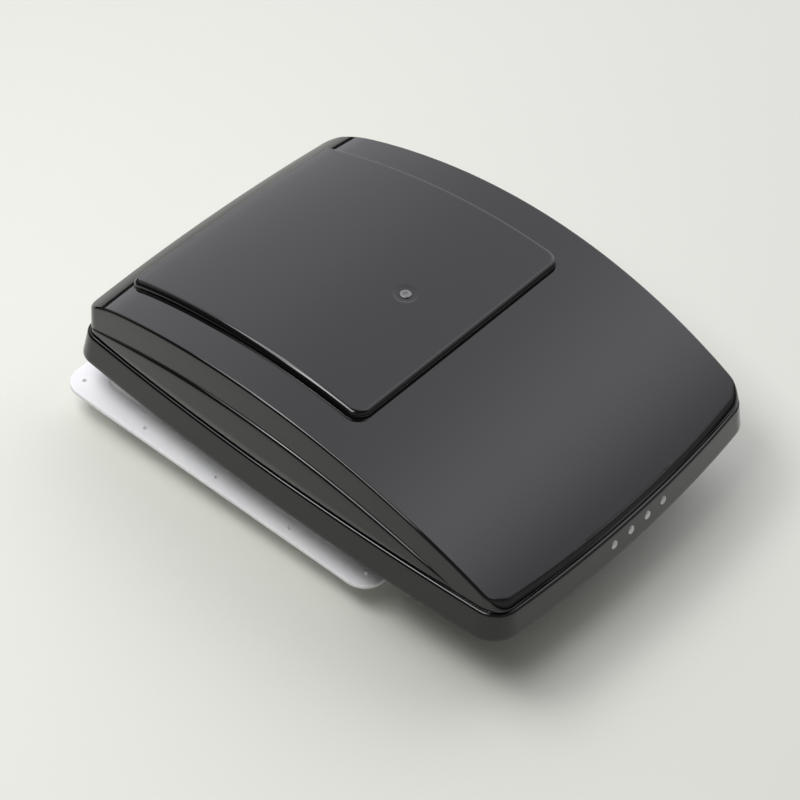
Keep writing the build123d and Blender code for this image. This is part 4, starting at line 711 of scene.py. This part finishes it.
nose_turned = (-cover_normals[:, 1] - nose_turn_start) / (nose_turn_end - nose_turn_start)
rear_turned = (cover_normals[:, 1] - rear_turn_start) / (rear_turn_end - rear_turn_start)
nose_share, rear_share = eased(np.clip(nose_turned, 0, 1)), eased(np.clip(rear_turned, 0, 1))
every = np.ones(len(cover_places))
edge_radius = (side_edge_radius + (nose_edge_radius - side_edge_radius) * nose_share
               + (rear_edge_radius - side_edge_radius) * rear_share)
wall_inset = body_inset - nose_reach * nose_share
body_edge = round_edge(cover_places, cover_normals, wall_inset, body_draft, rim_top, edge_radius, 0.0)


def wall_at(height):
    """Inset of the body's wall at a height, also where its rounding has begun."""
    inset = wall_inset + body_draft * (height - rim_top)
    rise = np.clip((height - body_edge["centre_z"]) / edge_radius, -1, 1)
    on_arc = body_edge["centre_inset"] - edge_radius * np.sqrt(1 - rise**2)
    return np.where(height > body_edge["low_z"], np.maximum(on_arc, inset), inset)


rim_slope = rim_top_inset / (rim_top - rim_bottom)
rows = []
# inside of the shell, from the middle of the roof out and down to the rim
inner = round_edge(cover_places, cover_normals, wall_inset + cover_wall, body_draft, rim_top,
                   inner_edge_radius * every, -cover_wall)
inner_rounding = edge_rows(inner, inner_edge_radius * every, inner["low_turn"], steps=6)
inner_arc = [cover_row(*row) for row in inner_rounding]
hub_loop = np.array((0.0, dimple_y)) + hub_radius * cover_normals
hub_row = np.column_stack((hub_loop, roof_height(*hub_loop.T, -cover_wall)))
rows.append(hub_row)
rows += blend_rows(hub_row, inner_arc[-1], inner_roof_rows, lambda x, y: roof_height(x, y, -cover_wall))
rows += inner_arc[::-1]
inner_ledge = rim_top - cover_wall
rows.append(cover_row(wall_inset + cover_wall, every * (inner_ledge + inner_corner)))
rows.append(cover_row(wall_inset + cover_wall - inner_corner, every * inner_ledge))
rows.append(flat_row(cover_wall + rim_top_inset + soft_corner, inner_ledge))
rows.append(flat_row(cover_wall + rim_top_inset - soft_corner, inner_ledge - 2 * soft_corner))
# bottom edge of the rim, its outer wall, and its rounded top edge
for inset, start in ((cover_wall - rim_lip_radius, pi), (rim_lip_radius, -pi / 2)):
    rows += corner_rows(inset, rim_bottom + rim_lip_radius, rim_lip_radius, start, pi / 2, steps=4)
rim_turn = np.arctan(rim_slope)
for share in (0.15, 0.35, 0.6, 0.8):
    height = rim_bottom + (rim_top - rim_bottom) * share
    rows.append(flat_row(rim_slope * (height - rim_bottom), height))
rim_run = rim_edge_radius * np.tan((pi / 2 - rim_turn) / 2)
rows += corner_rows(rim_top_inset + rim_run, rim_top - rim_edge_radius, rim_edge_radius, rim_turn,
                    pi / 2 - rim_turn, steps=11)
# ledge, groove and the lip above it
groove_inset = wall_at(rim_top + groove_height) + groove_depth
groove_top = rim_top + groove_height
groove_bottom = rim_top - groove_drop
for out, height in ((2 * soft_corner, groove_bottom), (0, groove_bottom + soft_corner),
                    (0, groove_top - soft_corner), (soft_corner, groove_top)):
    rows.append(cover_row(groove_inset - out, every * height))
for angle in np.linspace(-pi / 2, 0, 4):
    height = groove_top + lip_radius + lip_radius * sin(angle)
    rows.append(cover_row(wall_at(every * height) + lip_radius * (1 - cos(angle)), every * height))
# body wall with the long swelling of each side
reach = swelling_reach()
proud = swelling_depth * (1 - np.exp(-reach / swelling_shoulder))
for share, out, rise, drop in swell_section:
    height = swelling_bottom + share * reach + rise + drop * proud
    rows.append(cover_row(wall_at(height) - out * proud, height))
# two rows up to the rounded edge, kept a thin strip apart where the swelling reaches into it
least_room, strip, edge_strip = 0.001, 0.0006, 0.0009
last_height = height
for share in (0.33, 0.66):
    room_up = np.maximum(body_edge["low_z"] - last_height, 0)
    height = last_height + np.where(room_up > least_room, room_up, strip) * share
    rows.append(cover_row(wall_at(height), height))
# rounded edge, roof and raised panel
start_z = np.maximum(body_edge["low_z"], last_height + edge_strip)
start_turn = np.arcsin(np.clip((start_z - body_edge["centre_z"]) / edge_radius, -1, 1))
rows += [cover_row(*row) for row in edge_rows(body_edge, edge_radius, start_turn, steps=14)]


def panel_row(inset, height):
    """A row of the raised panel's outline, at an inset and a height for each station."""
    return np.column_stack((panel_places - panel_normals * np.asarray(inset)[:, None], height))


panel_edge = round_edge(panel_places, panel_normals, every * 0.0, panel_draft, rim_top,
                        panel_edge_radius * every, panel_rise)
foot_inset = panel_draft * (roof_crest_z - rim_top) * every
foot_passes = 4
for _ in range(foot_passes):
    foot_z = roof_height(*(panel_places - panel_normals * foot_inset[:, None]).T)
    foot_inset = panel_draft * (foot_z - rim_top)
foot_out = foot_inset - panel_foot_radius
foot_row = panel_row(foot_out, roof_height(*(panel_places - panel_normals * foot_out[:, None]).T))
rows += blend_rows(rows[-1], foot_row, roof_rows, roof_height)
rows.append(foot_row)
rows.append(panel_row(foot_inset - 0.3 * panel_foot_radius, foot_z + 0.2 * panel_foot_radius))
rows.append(panel_row(foot_inset, foot_z + panel_foot_radius))
panel_arc = edge_rows(panel_edge, panel_edge_radius * every, panel_edge["low_turn"], steps=12)
rows += [panel_row(*row) for row in panel_arc]


def panel_height(x, y):
    """Height of the raised panel's skin."""
    return roof_height(x, y, panel_rise)


def dimple_row(radius, drop):
    """A row round the centre screw, sunk into the panel."""
    plan = np.array((0.0, dimple_y)) + radius * panel_normals
    return np.column_stack((plan, panel_height(*plan.T) - drop))


dimple_edge = dimple_row(dimple_radius + dimple_lip, 0.0)
rows += blend_rows(rows[-1], dimple_edge, panel_rows, panel_height)
rows.append(dimple_edge)
for t in np.linspace(0, 1, 9)[1:]:
    rows.append(dimple_row(dimple_radius + dimple_lip - dimple_slope * t, dimple_depth * eased(t)))
for radius in dimple_floor_radii:
    rows.append(dimple_row(radius, dimple_depth))

# The gloss mirrors the room. A faint ripple of 7 mm bends the mirror, handling has left hazy
# smears of about 110 mm, and a dust speck lies every 4 mm or so.
gloss_abs, tree, shader = surface_material("gloss_black_abs_moulded", {"IOR": 1.53})
place = add_node(tree, "ShaderNodeTexCoord")
ripple = add_node(tree, "ShaderNodeTexNoise",
                  {"Vector": place.outputs["Object"], "Scale": 140.0, "Detail": 2.0, "Roughness": 0.45})
bent = add_node(tree, "ShaderNodeBump",
                {"Height": ripple.outputs["Fac"], "Strength": 0.012, "Distance": 0.0005})
smear = add_node(tree, "ShaderNodeTexNoise",
                 {"Vector": place.outputs["Object"], "Scale": 9.0, "Detail": 5.0, "Roughness": 0.6})
haze = add_node(tree, "ShaderNodeMapRange", {"Value": smear.outputs["Fac"], "From Min": 0.35,
                                             "From Max": 0.75, "To Min": 0.05, "To Max": 0.075})
dust = add_node(tree, "ShaderNodeTexVoronoi", {"Vector": place.outputs["Object"], "Scale": 260.0})
speck = add_node(tree, "ShaderNodeMapRange", {"Value": dust.outputs["Distance"], "From Min": 0.02,
                                              "From Max": 0.05, "To Min": 1.0, "To Max": 0.0})
tint = add_node(tree, "ShaderNodeMix",
                {"Factor": speck.outputs["Result"], 6: colour("0A0A0B"), 7: colour("1A1A1C")},
                data_type="RGBA")
tree.links.new(tint.outputs[2], shader.inputs["Base Color"])
tree.links.new(haze.outputs["Result"], shader.inputs["Roughness"])
tree.links.new(bent.outputs["Normal"], shader.inputs["Normal"])

points, faces = skin_over(rows)
cover = finished("rain_cover_moulding", points, faces, gloss_abs, "cover")
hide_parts("rain_cover")

# Bosses for the screws and a pad for the hinge leaf are moulded inside the same cover. The
# bosses hang from the roof and widen a little to their roots; the pad stands on the nose wall
# behind the rivets.
boss_end_radius = 0.007
boss_root_radius = 0.0076
boss_root_bite = 0.001
boss_spots = [(-0.110, -0.112), (0.110, -0.112), (-0.110, 0.120), (0.110, 0.120), (0.0, dimple_y)]
boss_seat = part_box("inner_lid")[1][2]
tree, given, result = piece_tree("hanging_bosses", ["End Radius", "Root Radius"])
run = add_node(tree, "GeometryNodeInputNamedAttribute", {"Name": "run"}, data_type="FLOAT_VECTOR")
boss_form = add_node(tree, "GeometryNodeMeshCone",
                     {"Vertices": 48, "Radius Top": given.outputs["Root Radius"],
                      "Radius Bottom": given.outputs["End Radius"], "Depth": 1.0})
bosses = add_node(tree, "GeometryNodeInstanceOnPoints",
                  {"Points": given.outputs["Geometry"], "Instance": boss_form.outputs["Mesh"],
                   "Scale": run.outputs["Attribute"]})
solid = add_node(tree, "GeometryNodeRealizeInstances", {"Geometry": bosses.outputs["Instances"]})
black = add_node(tree, "GeometryNodeSetMaterial", {"Geometry": solid.outputs["Geometry"],
                                                   "Material": gloss_abs})
tree.links.new(black.outputs["Geometry"], result.inputs["Geometry"])
boss_runs = [(1, 1, float(roof_height(x, y, -cover_wall)) + boss_root_bite - boss_seat)
             for x, y in boss_spots]
plain_mesh("cover_bosses", [(x, y, boss_seat) for x, y in boss_spots], tree,
           {"End Radius": boss_end_radius, "Root Radius": boss_root_radius},
           "cover", boss_runs)

rivet_z = 0.0604
rim_tilt = float(np.arctan(rim_slope))
nose_out = Vector((0.0, -cos(rim_tilt), sin(rim_tilt)))
nose_spot = Vector((0.0, cover_nose_y + (rivet_z - rim_bottom) * rim_slope, rivet_z))
pad_width, pad_height, pad_thickness = 0.112, 0.0184, 0.0035
pad_reach = 0.0065
pad_edge = 0.0006
pad_work = bmesh.new()
bmesh.ops.create_cube(pad_work, size=1.0)
bmesh.ops.scale(pad_work, verts=pad_work.verts, vec=(pad_width, pad_height, pad_thickness))
bmesh.ops.bevel(pad_work, geom=pad_work.edges[:], offset=pad_edge, segments=3, affect="EDGES", profile=0.5)
lean = nose_out.to_track_quat("Z", "Y").to_matrix().to_4x4()
pad_middle = nose_spot - nose_out * (pad_reach - pad_thickness / 2)
bmesh.ops.transform(pad_work, verts=pad_work.verts, matrix=Matrix.Translation(pad_middle) @ lean)
pad_mesh = bpy.data.meshes.new("hinge_pad")
pad_work.to_mesh(pad_mesh)
pad_work.free()
pad_mesh.materials.append(gloss_abs)
pad_piece = bpy.data.objects.new("hinge_pad", pad_mesh)
bpy.context.scene.collection.objects.link(pad_piece)
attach(pad_piece, "cover")

# Four aluminium blind rivets go through the nose wall, its pad and the hinge leaf. Their
# heads are domed and left as pressed, satin, with the tail set behind the leaf.
rivet_head_radius = 0.0045
rivet_head_height = 0.0013
rivet_shank_radius = 0.0024
rivet_tail_radius = 0.0038
rivet_tail_height = 0.0016
rivet_count = 4
rivet_pitch = 0.026
rivet_grip = 0.008
satin_aluminium = two_tone("pressed_aluminium_satin", ("C3C4C5", "B2B3B5"), grains_per_mm=0.9,
                           relief=0.12, depth=0.00006, roughness=(0.32, 0.44), sockets={"Metallic": 1.0})

tree, given, result = piece_tree("blind_rivets", ["Head Radius", "Head Height", "Shank Radius", "Tail Radius",
                                                  "Tail Height", "Grip", "Lean"])


def half_ball(radius, height):
    """A dome with a flat closed foot, from a ball whose lower half is pressed flat."""
    foot = -0.0001
    ball = add_node(tree, "GeometryNodeMeshUVSphere", {"Segments": 40, "Rings": 20, "Radius": 1.0})
    size = add_node(tree, "ShaderNodeCombineXYZ", {"X": radius, "Y": radius, "Z": height})
    sized = add_node(tree, "GeometryNodeTransform",
                     {"Geometry": ball.outputs["Mesh"], "Scale": size.outputs["Vector"]})
    spot = add_node(tree, "GeometryNodeInputPosition")
    parts = add_node(tree, "ShaderNodeSeparateXYZ", {"Vector": spot.outputs["Position"]})
    kept = add_node(tree, "ShaderNodeMath", {0: parts.outputs["Z"], 1: foot}, operation="MAXIMUM")
    pressed = add_node(tree, "ShaderNodeCombineXYZ",
                       {"X": parts.outputs["X"], "Y": parts.outputs["Y"], "Z": kept.outputs["Value"]})
    return add_node(tree, "GeometryNodeSetPosition",
                    {"Geometry": sized.outputs["Geometry"], "Position": pressed.outputs["Vector"]})


head = half_ball(given.outputs["Head Radius"], given.outputs["Head Height"])
tail = half_ball(given.outputs["Tail Radius"], given.outputs["Tail Height"])
sunk = add_node(tree, "ShaderNodeMath", {0: given.outputs["Grip"], 1: -1.0}, operation="MULTIPLY")
tail_place = add_node(tree, "ShaderNodeCombineXYZ", {"Z": sunk.outputs["Value"]})
tail_set = add_node(tree, "GeometryNodeTransform",
                    {"Geometry": tail.outputs["Geometry"], "Translation": tail_place.outputs["Vector"],
                     "Rotation": (pi, 0, 0)})
shank = add_node(tree, "GeometryNodeMeshCylinder",
                 {"Vertices": 32, "Radius": given.outputs["Shank Radius"], "Depth": given.outputs["Grip"]})
half_sunk = add_node(tree, "ShaderNodeMath", {0: sunk.outputs["Value"], 1: 0.5}, operation="MULTIPLY")
shank_place = add_node(tree, "ShaderNodeCombineXYZ", {"Z": half_sunk.outputs["Value"]})
shank_set = add_node(tree, "GeometryNodeTransform",
                     {"Geometry": shank.outputs["Mesh"], "Translation": shank_place.outputs["Vector"]})
rivet_form = add_node(tree, "GeometryNodeJoinGeometry")
for part in (head, tail_set, shank_set):
    tree.links.new(part.outputs["Geometry"], rivet_form.inputs["Geometry"])
leaning = add_node(tree, "ShaderNodeCombineXYZ", {"X": given.outputs["Lean"]})
row = add_node(tree, "GeometryNodeInstanceOnPoints",
               {"Points": given.outputs["Geometry"], "Instance": rivet_form.outputs["Geometry"],
                "Rotation": leaning.outputs["Vector"]})
solid = add_node(tree, "GeometryNodeRealizeInstances", {"Geometry": row.outputs["Instances"]})
smooth_row = add_node(tree, "GeometryNodeSetShadeSmooth", {"Geometry": solid.outputs["Geometry"]})
pressed_row = add_node(tree, "GeometryNodeSetMaterial",
                       {"Geometry": smooth_row.outputs["Geometry"], "Material": satin_aluminium})
tree.links.new(pressed_row.outputs["Geometry"], result.inputs["Geometry"])
rivet_xs = [rivet_pitch * (count - (rivet_count - 1) / 2) for count in range(rivet_count)]
rivet_points = [(x, nose_spot.y + nose_bow * (x / nose_x) ** 2, rivet_z) for x in rivet_xs]
rivets = plain_mesh("blind_rivets", rivet_points, tree,
                    {"Head Radius": rivet_head_radius, "Head Height": rivet_head_height,
                     "Shank Radius": rivet_shank_radius, "Tail Radius": rivet_tail_radius,
                     "Tail Height": rivet_tail_height, "Grip": rivet_grip, "Lean": pi / 2 - rim_tilt},
                    "cover")
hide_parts("nose_rivets")

# One cross recessed pan head screw holds the panel's middle down to a boss, in the dimple.
# It is zinc plated steel that weather has dulled.
dull_zinc = two_tone("weathered_zinc_plated_steel", ("828281", "747473"), grains_per_mm=1.1,
                     relief=0.2, depth=0.00006, roughness=(0.38, 0.52), sockets={"Metallic": 1.0})
screw_low, screw_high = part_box("centre_screw")[0][2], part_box("centre_screw")[1][2]
screw_head_radius = 0.006
screw_head_height = 0.0024
screw_head_edge = 0.0003
screw_side_start = 0.0009
screw_side_rise = 0.0011
screw_side_inset = 0.0016
screw_crown = 0.0004
screw_crown_radius = 0.0043
screw_crown_span = 0.0044
screw_hub_radius = 0.0002
screw_shank_radius = 0.00175
screw_tip = 0.0004
screw_tip_height = 0.001
recess_arm_half = 0.0009
recess_arm_slope = 0.0003
recess_reach = 0.0032
recess_end_slope = 0.0005
recess_depth = 0.0008
turns = np.linspace(0, 2 * pi, 96, endpoint=False)
ring = np.column_stack((np.cos(turns), np.sin(turns)))
under_head = screw_high - screw_head_height


def screw_row(radius, height):
    """A ring of the screw's head or shank; inside the head it dips into the cross recess."""
    plan = ring * radius
    off_arm = np.minimum(np.abs(plan[:, 0]), np.abs(plan[:, 1]))
    in_arm = np.clip((recess_arm_half - off_arm) / recess_arm_slope, 0, 1)
    in_reach = np.clip((recess_reach - radius) / recess_end_slope, 0, 1)
    on_head = height > under_head + screw_head_edge / 2
    return np.column_stack((plan + (0.0, dimple_y), height - recess_depth * in_arm * in_reach * on_head))


screw_rows = [screw_row(*row) for row in (
    (screw_tip, screw_low), (screw_shank_radius * 0.8, screw_low + screw_tip),
    (screw_shank_radius, screw_low + screw_tip_height), (screw_shank_radius, under_head),
    (screw_head_radius - screw_head_edge, under_head), (screw_head_radius, under_head + screw_head_edge))]
for turn in np.linspace(0, pi / 2, 12)[1:]:
    screw_rows.append(screw_row(screw_head_radius - screw_side_inset * (1 - cos(turn)),
                                under_head + screw_side_start + screw_side_rise * sin(turn)))
for radius in np.linspace(screw_crown_radius, screw_hub_radius, 34):
    screw_rows.append(screw_row(radius, screw_high - screw_crown * (radius / screw_crown_span) ** 2))
points, faces = skin_over(screw_rows)
screw = finished("centre_pan_screw", points, faces, dull_zinc, "cover")
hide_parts("centre_screw")
